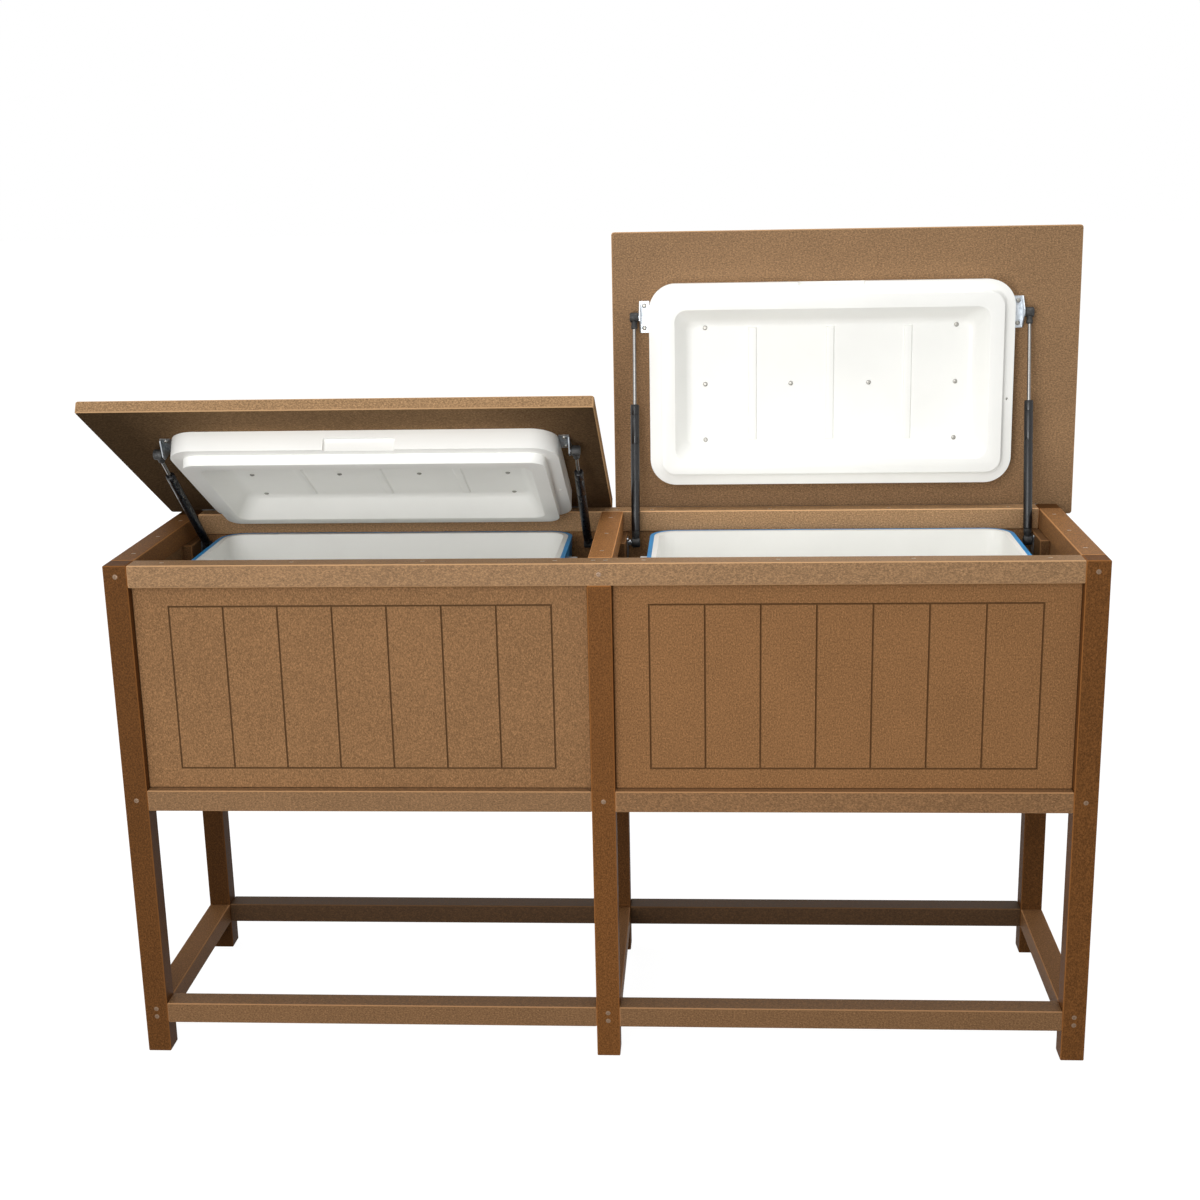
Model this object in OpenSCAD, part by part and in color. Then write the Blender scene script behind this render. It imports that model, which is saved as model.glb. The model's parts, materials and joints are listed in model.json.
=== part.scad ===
// Raised ice chest: two insulated chests side by side in a tall open frame of
// recycled plastic lumber, each under its own hinged board held by two gas struts.
// Millimetres, +Z up, X along the frame, Y from front to back.

/* [Frame] */
// Length of the frame over the end legs
frame_l = 1552; // [1450:1:1700]
// Depth of the frame from front to back
frame_d = 430; // [415:1:470]
// Height of the frame to the top of its rails
frame_h = 839; // [800:1:900]
// Width and thickness of a leg, and thickness of every rail
leg_w = 38; // [36:0.5:42]
// Height of the rails under the lids
top_rail_h = 36; // [32:0.5:42]
// Height of the rails under the panels
low_rail_h = 35; // [32:0.5:42]
// Height above the ground of the top of the rails under the panels
low_rail_z = 466; // [450:1:480]
// Height of a stretcher near the ground
stretcher_h = 35; // [28:0.5:42]
// Height above the ground of the top of the stretchers
stretcher_z = 88; // [70:1:140]
// Width of the eased arris on each board
ease = 1.5; // [0.5:0.1:2.5]

/* [Panels and floor] */
// Thickness of the panels
panel_t = 19; // [16:0.5:20]
// How far the panels lie behind the faces of the frame
panel_inset = 15; // [12:0.5:18]
// Width of a groove in a panel
groove_w = 3; // [2:0.5:5]
// Depth of a groove in a panel
groove_d = 2; // [1:0.5:4]
// Distance of the groove border from the sides of a panel
groove_margin_x = 57; // [40:1:80]
// Distance of the groove border from the top and bottom of a panel
groove_margin_z = 34; // [20:1:60]
// Number of boards that the grooves mark on a front panel
front_boards = 7; // [4:1:10]
// Number of boards that the grooves mark on a side panel
side_boards = 3; // [2:1:4]
// Thickness of the floor slats
slat_t = 19; // [14:0.5:22]
// Gap between floor slats
slat_gap = 8; // [4:1:20]
// Number of floor slats under a chest
slat_count = 6; // [4:1:7]
// Width of the cleats that carry the slats
cleat_w = 16; // [12:1:24]

/* [Lid boards] */
// Thickness of a lid board
lid_t = 19; // [16:0.5:25]
// How far the lid boards stand out at the front
lid_front = 45.5; // [30:0.5:60]
// How far each lid board stands out at its end
lid_side = 28; // [20:0.5:40]
// How far the lid boards stand out at the back
lid_rear = 20; // [19:0.5:30]
// Gap between the two lid boards
lid_split = 6; // [3:0.5:12]
// Radius of the corners of a lid board
lid_corner_r = 5; // [3:0.5:20]
// Clearance between a shut lid board and the rails
lid_seat_gap = 0.3; // [0.2:0.1:1]
// Angle at which the left lid stands open
left_lid_angle = 29.6; // [0:0.1:92]
// Angle at which the right lid stands open
right_lid_angle = 92; // [0:0.1:92]

/* [Hinges] */
// Distance of the hinge pin behind the back of the frame
pin_back = 6; // [5.5:0.1:6.6]
// Distance of the hinge pin below the lid board
pin_drop = 6.5; // [6:0.1:6.8]
// Radius of the hinge knuckles
knuckle_r = 5; // [4.8:0.1:5.2]
// Radius of the hinge pin
pin_r = 2.5; // [2:0.1:3]
// Radial clearance of the pin in the knuckles
pin_clear = 0.08; // [0.05:0.01:0.1]
// Thickness of a hinge leaf
leaf_t = 2; // [1.8:0.1:2.4]
// Height of the leaf on the back of the frame
frame_leaf_h = 24; // [16:1:28]
// Number of knuckles on one hinge, an odd number
knuckle_count = 25; // [15:2:31]
// Gap between one knuckle and the next
knuckle_gap = 0.6; // [0.4:0.1:1]
// Distance of a hinge from the ends of its lid board
hinge_inset = 60; // [45:1:120]

/* [Chests] */
// Gap between each end of a chest and the leg beside it
chest_end_gap = 48.5; // [48:0.5:60]
// Gap between a chest and the panels before and behind it
chest_side_gap = 8; // [7:0.5:12]
// Radius of the upright corners of a chest
chest_r = 45; // [35:1:60]
// How much each side of a chest leans in from rim to base
chest_draft = 14; // [6:1:20]
// Width of the coloured rim of the shell
shell_rim = 7; // [5:0.5:9]
// Thickness of the outer shell
shell_t = 4; // [3:0.5:5]
// Thickness of the liner
liner_t = 2.5; // [2:0.5:4]
// Distance of the mouth of the liner from the outside of the rim
mouth_in = 15.5; // [13:0.5:16]
// Thickness of the insulated walls at the base
wall_base = 34; // [26:1:40]
// Thickness of the insulated bottom
bottom_t = 32; // [24:1:40]
// Gap between the rim and the skirt of the shut chest lid
rim_gap = 0.8; // [0.4:0.1:2]
// Length of a carry handle
handle_l = 120; // [90:1:150]
// How far a carry handle stands out
handle_out = 14; // [10:1:15]
// Height of a carry handle
handle_h = 42; // [30:1:60]
// Distance of a carry handle below the rim
handle_drop = 19; // [12:1:30]
// Radius of the drain hole
drain_r = 9; // [7:0.5:12]

/* [Chest lids] */
// Height of the skirt of a chest lid
skirt_h = 32.5; // [26:0.5:36]
// Distance of the plug inside the skirt
plug_in = 20.5; // [20:0.5:26]
// Height of the plug below the skirt
plug_h = 17; // [10:0.5:20]
// Width of the ridge round the dish in the plug
plug_ridge = 23.5; // [16:0.5:30]
// Run of the sloping walls of the dish
dish_slope = 22; // [10:1:30]
// Thickness of the chest lid over the dish
dish_roof = 12; // [8:1:20]
// Spacing of the ribs in the dish
rib_pitch = 133; // [100:1:140]
// Width of a rib in the dish
rib_w = 16; // [8:1:24]
// Height of a rib in the dish
rib_h = 3; // [1:0.5:5]
// Width of the finger grip in the skirt
grip_w = 114; // [80:1:140]
// Height of the finger grip in the skirt
grip_h = 20; // [12:1:24]
// Depth of the finger grip in the skirt
grip_d = 6; // [3:0.5:9]
// Radius of the cord hole in the skirt
cord_hole_r = 2; // [1:0.5:3]

/* [Gas struts] */
// Outside radius of a strut tube
tube_r = 7.5; // [6.5:0.1:7.8]
// Wall of a strut tube
tube_wall = 1.5; // [1:0.1:2]
// Radius of a strut rod
rod_r = 3; // [2.5:0.1:4]
// Distance from the lower ball to the open end of the tube
tube_l = 239; // [225:1:245]
// Travel left between the piston and the guide when a lid is fully open
piston_spare = 9; // [4:0.5:14]
// Radius of a ball
ball_r = 5; // [4:0.1:5.5]
// Radius of a socket
socket_r = 8.5; // [8:0.1:9.5]
// Width of a socket
socket_w = 15; // [11:0.5:15]
// Distance of a strut from the inner face of the nearest rail
strut_in = 22.5; // [22:0.1:23]
// Clearance beside a socket
socket_clear = 1; // [0.6:0.1:1.2]
// Distance of the lower ball in front of the back of the frame
low_ball_back = 65; // [60:1:75]
// Distance of the lower ball below the top of the frame
low_ball_drop = 50; // [44:1:60]
// Distance of the upper ball behind the front of the frame
high_ball_front = 98.5; // [85:0.5:120]
// Distance of the upper ball below the lid board
high_ball_drop = 17; // [15:0.5:20]
// Thickness of a strut block
block_t = 17; // [15:0.5:17]
// Length of a strut block
block_l = 92; // [80:1:110]
// Height of a strut block
block_h = 70; // [60:1:100]
// Thickness of the steel of the strut brackets
bracket_t = 2; // [1.5:0.1:2]
// Length of a strut bracket
bracket_l = 54; // [44:1:60]
// Width of a strut bracket
bracket_w = 17; // [14:0.5:17]

/* [Screws] */
// Radius of a screw head
head_r = 4; // [3:0.1:5]
// Height of a screw head
head_h = 2.6; // [2:0.1:4]
// Radius of a screw shank
shank_r = 2.2; // [1.6:0.1:2.6]
// How deep a countersunk head lies below the board
head_sink = 0.6; // [0.2:0.1:1.5]
// Clearance round a screw
screw_clear = 0.15; // [0.1:0.05:0.4]
// How far a screw reaches into the second board
screw_bite = 22; // [14:1:24]
// Distance of the outer screws from the ends of a top rail
screw_end = 50; // [30:1:70]
// Spacing of the screws along a side or centre rail
screw_pitch = 127; // [100:1:140]

/* [Hidden] */

LEFT = -1;
RIGHT = 1;
board_colour = "#8a6645";
leg_colour = "#7b5130";
white_colour = "#f2f1ea";
blue_colour = "#2173b8";
zinc_colour = "#b9bfc4";
black_colour = "#1d1e20";
foam_colour = "#e9dfb0";
// Overshoot of a cut past the face it opens
over = 1;
// Smoothness of turned parts and of rounded outlines
turn_fn = 48;
corner_steps = 9;
// Quarter turn, and the widest angle that a lid opens
quarter_angle = 90;
widest_angle = 92;

// Hinge pin and the underside of a shut lid, measured with the front of the frame at Y = 0
under_z = frame_h + lid_seat_gap;
pin_z = under_z - pin_drop;
pin_from_front = frame_d + pin_back;
// Furthest back that the right lid reaches, which sets the middle of the depth
lid_reach_y = pin_from_front + lid_front;
tilt_back = -lid_reach_y * cos(right_lid_angle) + (pin_drop + lid_t - ease) * sin(right_lid_angle);
tilt_edge = -(lid_reach_y - ease) * cos(right_lid_angle) + (pin_drop + lid_t) * sin(right_lid_angle);
depth_all = pin_from_front + max(tilt_back, tilt_edge);
// Front of the frame when the origin is below the middle of the whole object
front_y = -depth_all / 2;
back_y = front_y + frame_d;
pin_y = front_y + pin_from_front;
mid_y = (front_y + back_y) / 2;
end_x = frame_l / 2;

// Each bay between an end leg and the centre leg
bay_in = leg_w / 2;
bay_out = end_x - leg_w;
bay_l = bay_out - bay_in;
bay_mid = (bay_in + bay_out) / 2;
bay_d = frame_d - 2 * leg_w;
top_rail_z = frame_h - top_rail_h;
low_rail_base = low_rail_z - low_rail_h;
stretcher_base = stretcher_z - stretcher_h;
panel_h = top_rail_z - low_rail_z;
side_panel_in = panel_inset + panel_t;
chest_l = bay_l - 2 * chest_end_gap;
chest_w = frame_d - 2 * side_panel_in - 2 * chest_side_gap;

// A point on a lid given shut, as it lies when the lid stands open by a degrees
function on_lid(y, z, a) = [
    pin_y + (y - pin_y) * cos(a) + (z - pin_z) * sin(a),
    pin_z - (y - pin_y) * sin(a) + (z - pin_z) * cos(a)];

function open_angle(side) = side == LEFT ? left_lid_angle : right_lid_angle;

// Boards with eased arrises
module octagon(w, h, c) {
    polygon([[c, 0], [w - c, 0], [w, c], [w, h - c], [w - c, h], [c, h], [0, h - c], [0, c]]);
}

module eased_board(size) {
    intersection() {
        linear_extrude(size.z) octagon(size.x, size.y, ease);
        translate([0, size.y, 0]) rotate([90, 0, 0]) linear_extrude(size.y) octagon(size.x, size.z, ease);
        rotate([90, 0, 90]) linear_extrude(size.x) octagon(size.y, size.z, ease);
    }
}

// A board from one corner to the other, drilled for each screw that enters it
module board(lo, hi) {
    difference() {
        translate(lo) eased_board(hi - lo);
        for (s = SCREWS) if (enters(s, lo, hi)) place_screw(s) screw_bore(s[2]);
    }
}

// Lower balls of the gas struts, and the screws of their plates below each ball
low_ball_y = back_y - low_ball_back;
low_ball_z = frame_h - low_ball_drop;
plate_screw_drops = [14, 34];

// Screws: [place of the head on the face, outward direction, length]
UP = [0, 0, 1];
FORWARD = [0, -1, 0];
BACKWARD = [0, 1, 0];
face_z = [frame_h - top_rail_h / 2, low_rail_z - low_rail_h / 2];
stretcher_mid = stretcher_z - stretcher_h / 2;
pair_gap = stretcher_h / 5;
rail_pair = top_rail_h / 4;
rail_screw_in = (leg_w / 2 + panel_inset + panel_t / 2) / 2;
leg_x = [-end_x + leg_w / 2, 0, end_x - leg_w / 2];
long_screw = leg_w + screw_bite;
top_screw = top_rail_h + screw_bite;
bay_screws = [for (i = [0:3]) bay_in + screw_end + i * (bay_l - 2 * screw_end) / 3];
SCREWS = concat(
    [for (x = leg_x) for (z = concat(face_z, [stretcher_mid - pair_gap, stretcher_mid + pair_gap]))
        for (f = [FORWARD, BACKWARD]) [[x, f == FORWARD ? front_y : back_y, z], f, long_screw]],
    [for (side = [LEFT, RIGHT]) for (y = [front_y + leg_w / 2, back_y - leg_w / 2])
        for (z = [face_z[0] - rail_pair, face_z[0] + rail_pair,
            face_z[1] - rail_pair, face_z[1] + rail_pair, stretcher_mid])
        [[side * end_x, y, z], [side, 0, 0], long_screw]],
    [for (side = [LEFT, RIGHT]) for (x = bay_screws)
        for (y = [front_y + rail_screw_in, back_y - rail_screw_in])
        [[side * x, y, frame_h], UP, top_screw]],
    [for (x = [-leg_w / 4, leg_w / 4]) for (y = [front_y + rail_screw_in, back_y - rail_screw_in])
        [[x, y, frame_h], UP, top_screw]],
    [for (x = [-end_x + rail_screw_in, 0, end_x - rail_screw_in]) for (i = [-1:1])
        [[x, mid_y + i * screw_pitch, frame_h], UP, top_screw]],
    [for (side = [LEFT, RIGHT]) for (outer = [false, true]) for (drop = plate_screw_drops)
        [[plate_face(side, outer), low_ball_y, low_ball_z - drop], [block_way(side, outer), 0, 0],
            bracket_t + block_t - over]]);

// Slack for faces that only touch
touching = 0.02;

function enters(s, lo, hi) = let (tip = s[0] - s[1] * s[2])
    min([for (i = [0:2]) min(max(s[0][i], tip[i]) + shank_r - lo[i], hi[i] - min(s[0][i], tip[i]) + shank_r)])
    > 2 * shank_r - touching;

function screw_turn(n) = n.z == 1 ? [0, 0, 0] : n.y == 0 ? [0, quarter_angle * n.x, 0]
    : [-quarter_angle * n.y, 0, 0];

module place_screw(s) {
    translate(s[0]) rotate(screw_turn(s[1])) children();
}

module screw(l) {
    rotate_extrude($fn = turn_fn)
        polygon([[0, -head_sink], [head_r, -head_sink], [shank_r, -head_sink - head_h],
            [shank_r, shank_r - l], [0, -l]]);
}

module screw_bore(l) {
    rotate_extrude($fn = turn_fn)
        polygon([[0, over], [head_r + screw_clear, over], [head_r + screw_clear, -head_sink],
            [shank_r + screw_clear, -head_sink - head_h - screw_clear],
            [shank_r + screw_clear, -l - screw_clear], [0, -l - screw_clear]]);
}

module frame_screws() {
    color(zinc_colour) for (s = SCREWS) place_screw(s) screw(s[2]);
}

// Legs: the end legs reach the top, the centre legs stop under the long rails
module leg(column, back) {
    x = leg_x[column] - leg_w / 2;
    y = back ? back_y - leg_w : front_y;
    top = column == 1 ? top_rail_z : frame_h;
    color(leg_colour) board([x, y, 0], [x + leg_w, y + leg_w, top]);
}

// A bar along X across one or both bays, at the front or at the back
module long_bar(x0, x1, z0, z1, back) {
    y = back ? back_y - leg_w : front_y;
    color(board_colour) board([x0, y, z0], [x1, y + leg_w, z1]);
}

// A bar from front to back between two legs
module cross_bar(column, z0, z1) {
    x = leg_x[column] - leg_w / 2;
    color(board_colour) board([x, front_y + leg_w, z0], [x + leg_w, back_y - leg_w, z1]);
}

module bay_bar(side, z0, z1, back) {
    x = [side * bay_in, side * bay_out];
    long_bar(min(x), max(x), z0, z1, back);
}

// V-shaped cutters for the grooves, along +X or +Z of a panel lying in the XZ plane
module groove_v(l) {
    linear_extrude(l) polygon([[-groove_w / 2, -touching], [groove_w / 2, -touching], [0, groove_d]]);
}

module groove_lines(l, h, count) {
    w = l - 2 * groove_margin_x;
    tall = h - 2 * groove_margin_z;
    for (i = [0:count])
        translate([groove_margin_x + i * w / count, 0, groove_margin_z]) groove_v(tall);
    for (z = [groove_margin_z, h - groove_margin_z])
        translate([groove_margin_x - groove_w / 2, 0, z]) rotate([0, 90, 0]) groove_v(w + groove_w);
}

// A front panel, with its grooves on the side that faces -Y
module front_panel(side) {
    x0 = min(side * bay_in, side * bay_out);
    lo = [x0, front_y + panel_inset, low_rail_z];
    color(board_colour) difference() {
        board(lo, lo + [bay_l, panel_t, panel_h]);
        translate(lo) groove_lines(bay_l, panel_h, front_boards);
    }
}

module rear_panel(side) {
    x0 = min(side * bay_in, side * bay_out);
    lo = [x0, back_y - panel_inset - panel_t, low_rail_z];
    color(board_colour) board(lo, lo + [bay_l, panel_t, panel_h]);
}

module side_panel(side) {
    x_face = side * (end_x - panel_inset);
    x0 = side == LEFT ? x_face : x_face - panel_t;
    lo = [x0, front_y + leg_w, low_rail_z];
    color(board_colour) difference() {
        board(lo, lo + [panel_t, bay_d, panel_h]);
        translate([x_face, side == LEFT ? lo.y + bay_d : lo.y, low_rail_z])
            rotate([0, 0, side * 90]) groove_lines(bay_d, panel_h, side_boards);
    }
}

module centre_panel() {
    lo = [-panel_t / 2, front_y + leg_w, low_rail_z];
    color(board_colour) board(lo, lo + [panel_t, bay_d, panel_h]);
}

// Floor: slats from front to back on two cleats in each bay
module floor_slats(side) {
    slat_w = (bay_l - (slat_count + 1) * slat_gap) / slat_count;
    x0 = min(side * bay_in, side * bay_out);
    color(board_colour) for (i = [0:slat_count - 1]) {
        lo = [x0 + slat_gap + i * (slat_w + slat_gap), front_y + leg_w, low_rail_z - slat_t];
        translate(lo) eased_board([slat_w, bay_d, slat_t]);
    }
}

module floor_cleats() {
    color(board_colour) for (side = [LEFT, RIGHT]) for (y = [front_y + leg_w, back_y - leg_w - cleat_w])
        translate([min(side * bay_in, side * bay_out), y, low_rail_base])
            eased_board([bay_l, cleat_w, low_rail_h - slat_t]);
}

// Struts: each bay has one beside its inner end and one beside its outer end
function strut_x(side, outer) = side * (outer ? bay_out - strut_in : bay_in + strut_in);
high_ball_y = front_y + high_ball_front;
high_ball_z = under_z - high_ball_drop;
block_hang = top_rail_z;

// Face of the panel that carries a block, and the way from it towards the strut
function block_x(side, outer) = side * (outer ? end_x - side_panel_in : panel_t / 2);
function block_way(side, outer) = outer ? -side : side;

module span_x(x, way, w) {
    translate([way > 0 ? x : x - w, 0, 0]) children();
}

module strut_blocks() {
    y0 = back_y - leg_w - block_l;
    color(board_colour) for (side = [LEFT, RIGHT]) for (outer = [false, true]) {
        x = block_x(side, outer);
        far_x = x + block_way(side, outer) * block_t;
        board([min(x, far_x), y0, block_hang - block_h], [max(x, far_x), y0 + block_l, block_hang]);
    }
}

// A rectangle with round corners about its centre
module rounded(w, h, r) {
    for (x = [r - w / 2, w / 2 - r]) for (y = [r - h / 2, h / 2 - r])
        translate([x, y]) circle(r, $fn = turn_fn);
    square([w - 2 * r, h], center = true);
    square([w, h - 2 * r], center = true);
}

plate_corner = 3;
plate_w = bracket_w + plate_corner;
plate_below_rail = 4;
plate_mid_z = top_rail_z - plate_below_rail - bracket_l / 2;

// Face of a strut plate that looks at the strut
function plate_face(side, outer) = block_x(side, outer) + block_way(side, outer) * (block_t + bracket_t);

module strut_plates() {
    color(zinc_colour) difference() {
        for (side = [LEFT, RIGHT]) for (outer = [false, true])
            span_x(block_x(side, outer) + block_way(side, outer) * block_t, block_way(side, outer), bracket_t)
                translate([0, low_ball_y, plate_mid_z]) rotate([90, 0, 90])
                    linear_extrude(bracket_t) rounded(plate_w, bracket_l, plate_corner);
        for (s = SCREWS) if (abs(s[1].x) == 1 && s[0].y == low_ball_y) place_screw(s) screw_bore(s[2]);
    }
}

// Hinges: knuckles along X that belong in turn to the frame leaf and to the lid leaf
lid_inner = lid_split / 2;
lid_outer = end_x + lid_side;
lid_l = lid_outer - lid_inner;
lid_d = lid_front + frame_d + lid_rear;
hinge_l = lid_l - 2 * hinge_inset;
knuckle_l = hinge_l / knuckle_count;
hinge_clear = 0.4;
lid_leaf_w = lid_rear - pin_back - ease;

function hinge_x(side) = side == LEFT ? -lid_outer + hinge_inset : lid_inner + hinge_inset;

module knuckles(first) {
    for (i = [first:2:knuckle_count - 1])
        translate([i * knuckle_l + knuckle_gap / 2, 0, 0]) rotate([0, 90, 0])
            cylinder(r = knuckle_r, h = knuckle_l - knuckle_gap, $fn = turn_fn);
}

module knuckle_room(first) {
    for (i = [first:2:knuckle_count - 1])
        translate([i * knuckle_l - knuckle_gap / 2, 0, 0]) rotate([0, 90, 0])
            cylinder(r = knuckle_r + hinge_clear, h = knuckle_l + knuckle_gap, $fn = turn_fn);
}

module pin_bore() {
    translate([-over, 0, 0]) rotate([0, 90, 0])
        cylinder(r = pin_r + pin_clear, h = hinge_l + 2 * over, $fn = turn_fn);
}

// The leaf on the back of the frame, drawn from the pin
module frame_leaf() {
    difference() {
        union() {
            knuckles(0);
            difference() {
                translate([0, -pin_back, -frame_leaf_h]) cube([hinge_l, leaf_t, frame_leaf_h]);
                knuckle_room(1);
            }
        }
        pin_bore();
    }
}

// The leaf under the back edge of the lid, drawn from the pin
module lid_leaf() {
    difference() {
        union() {
            knuckles(1);
            difference() {
                translate([0, 0, pin_drop - leaf_t]) cube([hinge_l, lid_leaf_w, leaf_t]);
                knuckle_room(0);
            }
        }
        pin_bore();
    }
}

module hinge_frame_leaves() {
    color(zinc_colour) for (side = [LEFT, RIGHT])
        translate([hinge_x(side), pin_y, pin_z]) frame_leaf();
}

module hinge_pins() {
    color(zinc_colour) for (side = [LEFT, RIGHT])
        translate([hinge_x(side), pin_y, pin_z]) rotate([0, 90, 0])
            cylinder(r = pin_r, h = hinge_l, $fn = turn_fn);
}

// Turns what is drawn on a shut lid about the hinge pin
module opened(side) {
    translate([0, pin_y, pin_z]) rotate([-open_angle(side), 0, 0]) translate([0, -pin_y, -pin_z]) children();
}

module hinge_lid_leaf(side) {
    color(zinc_colour) opened(side) translate([hinge_x(side), pin_y, pin_z]) lid_leaf();
}

// A rounded rectangle as a ring of points, and a solid through such rings from bottom to top
function ring(l, w, r, z) = [for (c = [0:3]) for (i = [0:corner_steps])
    let (a = c * 90 + i * 90 / corner_steps, sx = c == 0 || c == 3 ? 1 : -1, sy = c < 2 ? 1 : -1)
    [sx * (l / 2 - r) + r * cos(a), sy * (w / 2 - r) + r * sin(a), z]];

module loft(rings) {
    n = len(rings[0]);
    last = len(rings) - 1;
    sides = [for (k = [0:last - 1]) for (j = [0:n - 1]) let (a = k * n + j, b = k * n + (j + 1) % n)
        each [[a, a + n, b + n], [a, b + n, b]]];
    caps = [[for (j = [0:n - 1]) j], [for (j = [n - 1:-1:0]) last * n + j]];
    polyhedron(points = [for (r = rings) each r], faces = concat(sides, caps), convexity = 4);
}

// Lid boards
module lid_board(side) {
    centre = [side * (lid_inner + lid_outer) / 2, front_y - lid_front + lid_d / 2, under_z];
    color(board_colour) opened(side) difference() {
        translate(centre) loft([
            ring(lid_l - 2 * ease, lid_d - 2 * ease, lid_corner_r - ease, 0),
            ring(lid_l, lid_d, lid_corner_r, ease),
            ring(lid_l, lid_d, lid_corner_r, lid_t - ease),
            ring(lid_l - 2 * ease, lid_d - 2 * ease, lid_corner_r - ease, lid_t)]);
        lid_screw_places(side) translate([0, 0, -over])
            cylinder(r = shank_r + screw_clear, h = lid_bite + over + screw_clear, $fn = turn_fn);
    }
}

// Chest lids hang under the boards, with a skirt, a plug and a ribbed dish, drawn from their centre
// at the underside of the board
skirt_round = 5;
plug_round = 4;
edge_steps = 3;
plug_base = skirt_h + plug_h;
dish_in = plug_in + plug_ridge;
floor_in = dish_in + dish_slope;
dish_r = 14;
lid_bite = lid_t * 3 / 5;
cord_hole = [chest_l / 2 - plug_in / 2, chest_w / 12];
cord_hole_deep = 10;
// How far the outer screws lie inside the floor of the dish
screw_in_x = 30;
screw_in_y = 10;
chest_lid_screw_x = chest_l / 2 - floor_in - screw_in_x;
chest_lid_screw_y = chest_w / 2 - floor_in - screw_in_y;
inner_screw_x = 67;
CHEST_LID_SCREWS = concat(
    [for (x = [-1, 1]) for (y = [-1:1]) [x * chest_lid_screw_x, y * chest_lid_screw_y]],
    [for (x = [-1, 1]) [x * inner_screw_x, 0]]);

function inset_ring(d, z, r = chest_r) = ring(chest_l - 2 * d, chest_w - 2 * d, max(r - d, dish_r), z);

module at_chest(side) {
    translate([side * bay_mid, mid_y, under_z]) children();
}

// Each screw that enters a lid board from below, at the underside of the board
module lid_screw_places(side) {
    at_chest(side) for (p = CHEST_LID_SCREWS) translate([p.x, p.y, 0]) children();
    at_brackets(side) for (y = BRACKET_SCREWS) translate([flange_x + bracket_w / 2, y, 0]) children();
}

// A ring of the chest lid with a round edge between z and the side, in three steps
function rounded_edge(d, z, r) = [for (a = [0:quarter_angle / edge_steps:quarter_angle])
    inset_ring(d + r * (1 - sin(a)), z + r * (1 - cos(a)))];

module dish() {
    loft([inset_ring(dish_in - plug_round, -plug_base - over), inset_ring(dish_in - plug_round, -plug_base),
        inset_ring(dish_in, plug_round - plug_base), inset_ring(floor_in, -dish_roof)]);
}

module dish_ribs() {
    l = chest_w - 2 * floor_in + 2 * rib_h;
    for (i = [-1:1]) translate([i * rib_pitch, l / 2, -dish_roof]) rotate([90, 0, 0])
        linear_extrude(l) polygon([[-rib_w / 2, over], [-rib_w / 2, 0], [-rib_w / 2 + rib_h, -rib_h],
            [rib_w / 2 - rib_h, -rib_h], [rib_w / 2, 0], [rib_w / 2, over]]);
}

module chest_lid(side) {
    color(white_colour) opened(side) at_chest(side) difference() {
        union() {
            difference() {
                union() {
                    loft(concat(rounded_edge(0, -skirt_h, skirt_round), [inset_ring(0, 0)]));
                    loft(concat(rounded_edge(plug_in, -plug_base, plug_round),
                        [inset_ring(plug_in, -skirt_h + over)]));
                }
                dish();
            }
            dish_ribs();
        }
        translate([-grip_w / 2, -chest_w / 2 - over, -skirt_h - over])
            cube([grip_w, grip_d + over, grip_h + over]);
        for (p = CHEST_LID_SCREWS) translate([p.x, p.y, -dish_roof - rib_h - over])
            cylinder(r = shank_r + screw_clear, h = dish_roof + rib_h + 2 * over, $fn = turn_fn);
        translate([cord_hole.x, cord_hole.y, -skirt_h - over])
            cylinder(r = cord_hole_r, h = cord_hole_deep + over, $fn = turn_fn);
    }
}

// A domed screw that passes through grip below a lid board, and bites into the board
dome_rim = head_h / 3;

module domed_screw(grip) {
    translate([0, 0, -grip]) rotate_extrude($fn = turn_fn)
        polygon([[0, -head_h], [head_r / 2, dome_rim / 3 - head_h], [head_r - dome_rim, -2 * dome_rim],
            [head_r, -dome_rim], [head_r, 0], [shank_r, 0], [shank_r, grip + lid_bite - shank_r],
            [0, grip + lid_bite]]);
}

module lid_screws(side) {
    color(zinc_colour) opened(side) {
        at_chest(side) for (p = CHEST_LID_SCREWS) translate([p.x, p.y, 0]) domed_screw(dish_roof);
        at_brackets(side) for (y = BRACKET_SCREWS)
            translate([flange_x + bracket_w / 2, y, 0]) domed_screw(bracket_t);
    }
}

// Balls and the cups round them, turned about X, with a stud or a mouth that reaches l towards +X
ball_steps = 10;
pole = 80;

function ball_arc(r, neck) = let (turn = acos(neck / r) + pole)
    [for (i = [0:ball_steps]) let (a = i * turn / ball_steps - pole) [r * cos(a), r * sin(a)]];

module turned_ball(r, neck, l) {
    rotate([0, 90, 0]) rotate_extrude($fn = turn_fn)
        polygon(concat([[0, -r]], ball_arc(r, neck), [[neck, l], [0, l]]));
}

// Brackets on the lid: a foot screwed to the board and a flange that carries a ball
flange_h = high_ball_drop + ball_r + bracket_t;
flange_x = socket_w / 2 + socket_clear;
flange_tip = bracket_w / 2;
BRACKET_SCREWS = [for (end = [-1, 1]) end * (bracket_l / 2 - 2 * head_r)];
stud_r = 2.75;

// Outline of half the flange: long at the foot, narrow below the ball
flange_half = [[bracket_l / 2, 0], [bracket_l / 2, -2 * bracket_t], [flange_tip, plate_corner - flange_h],
    [flange_tip - plate_corner, -flange_h]];

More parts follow.
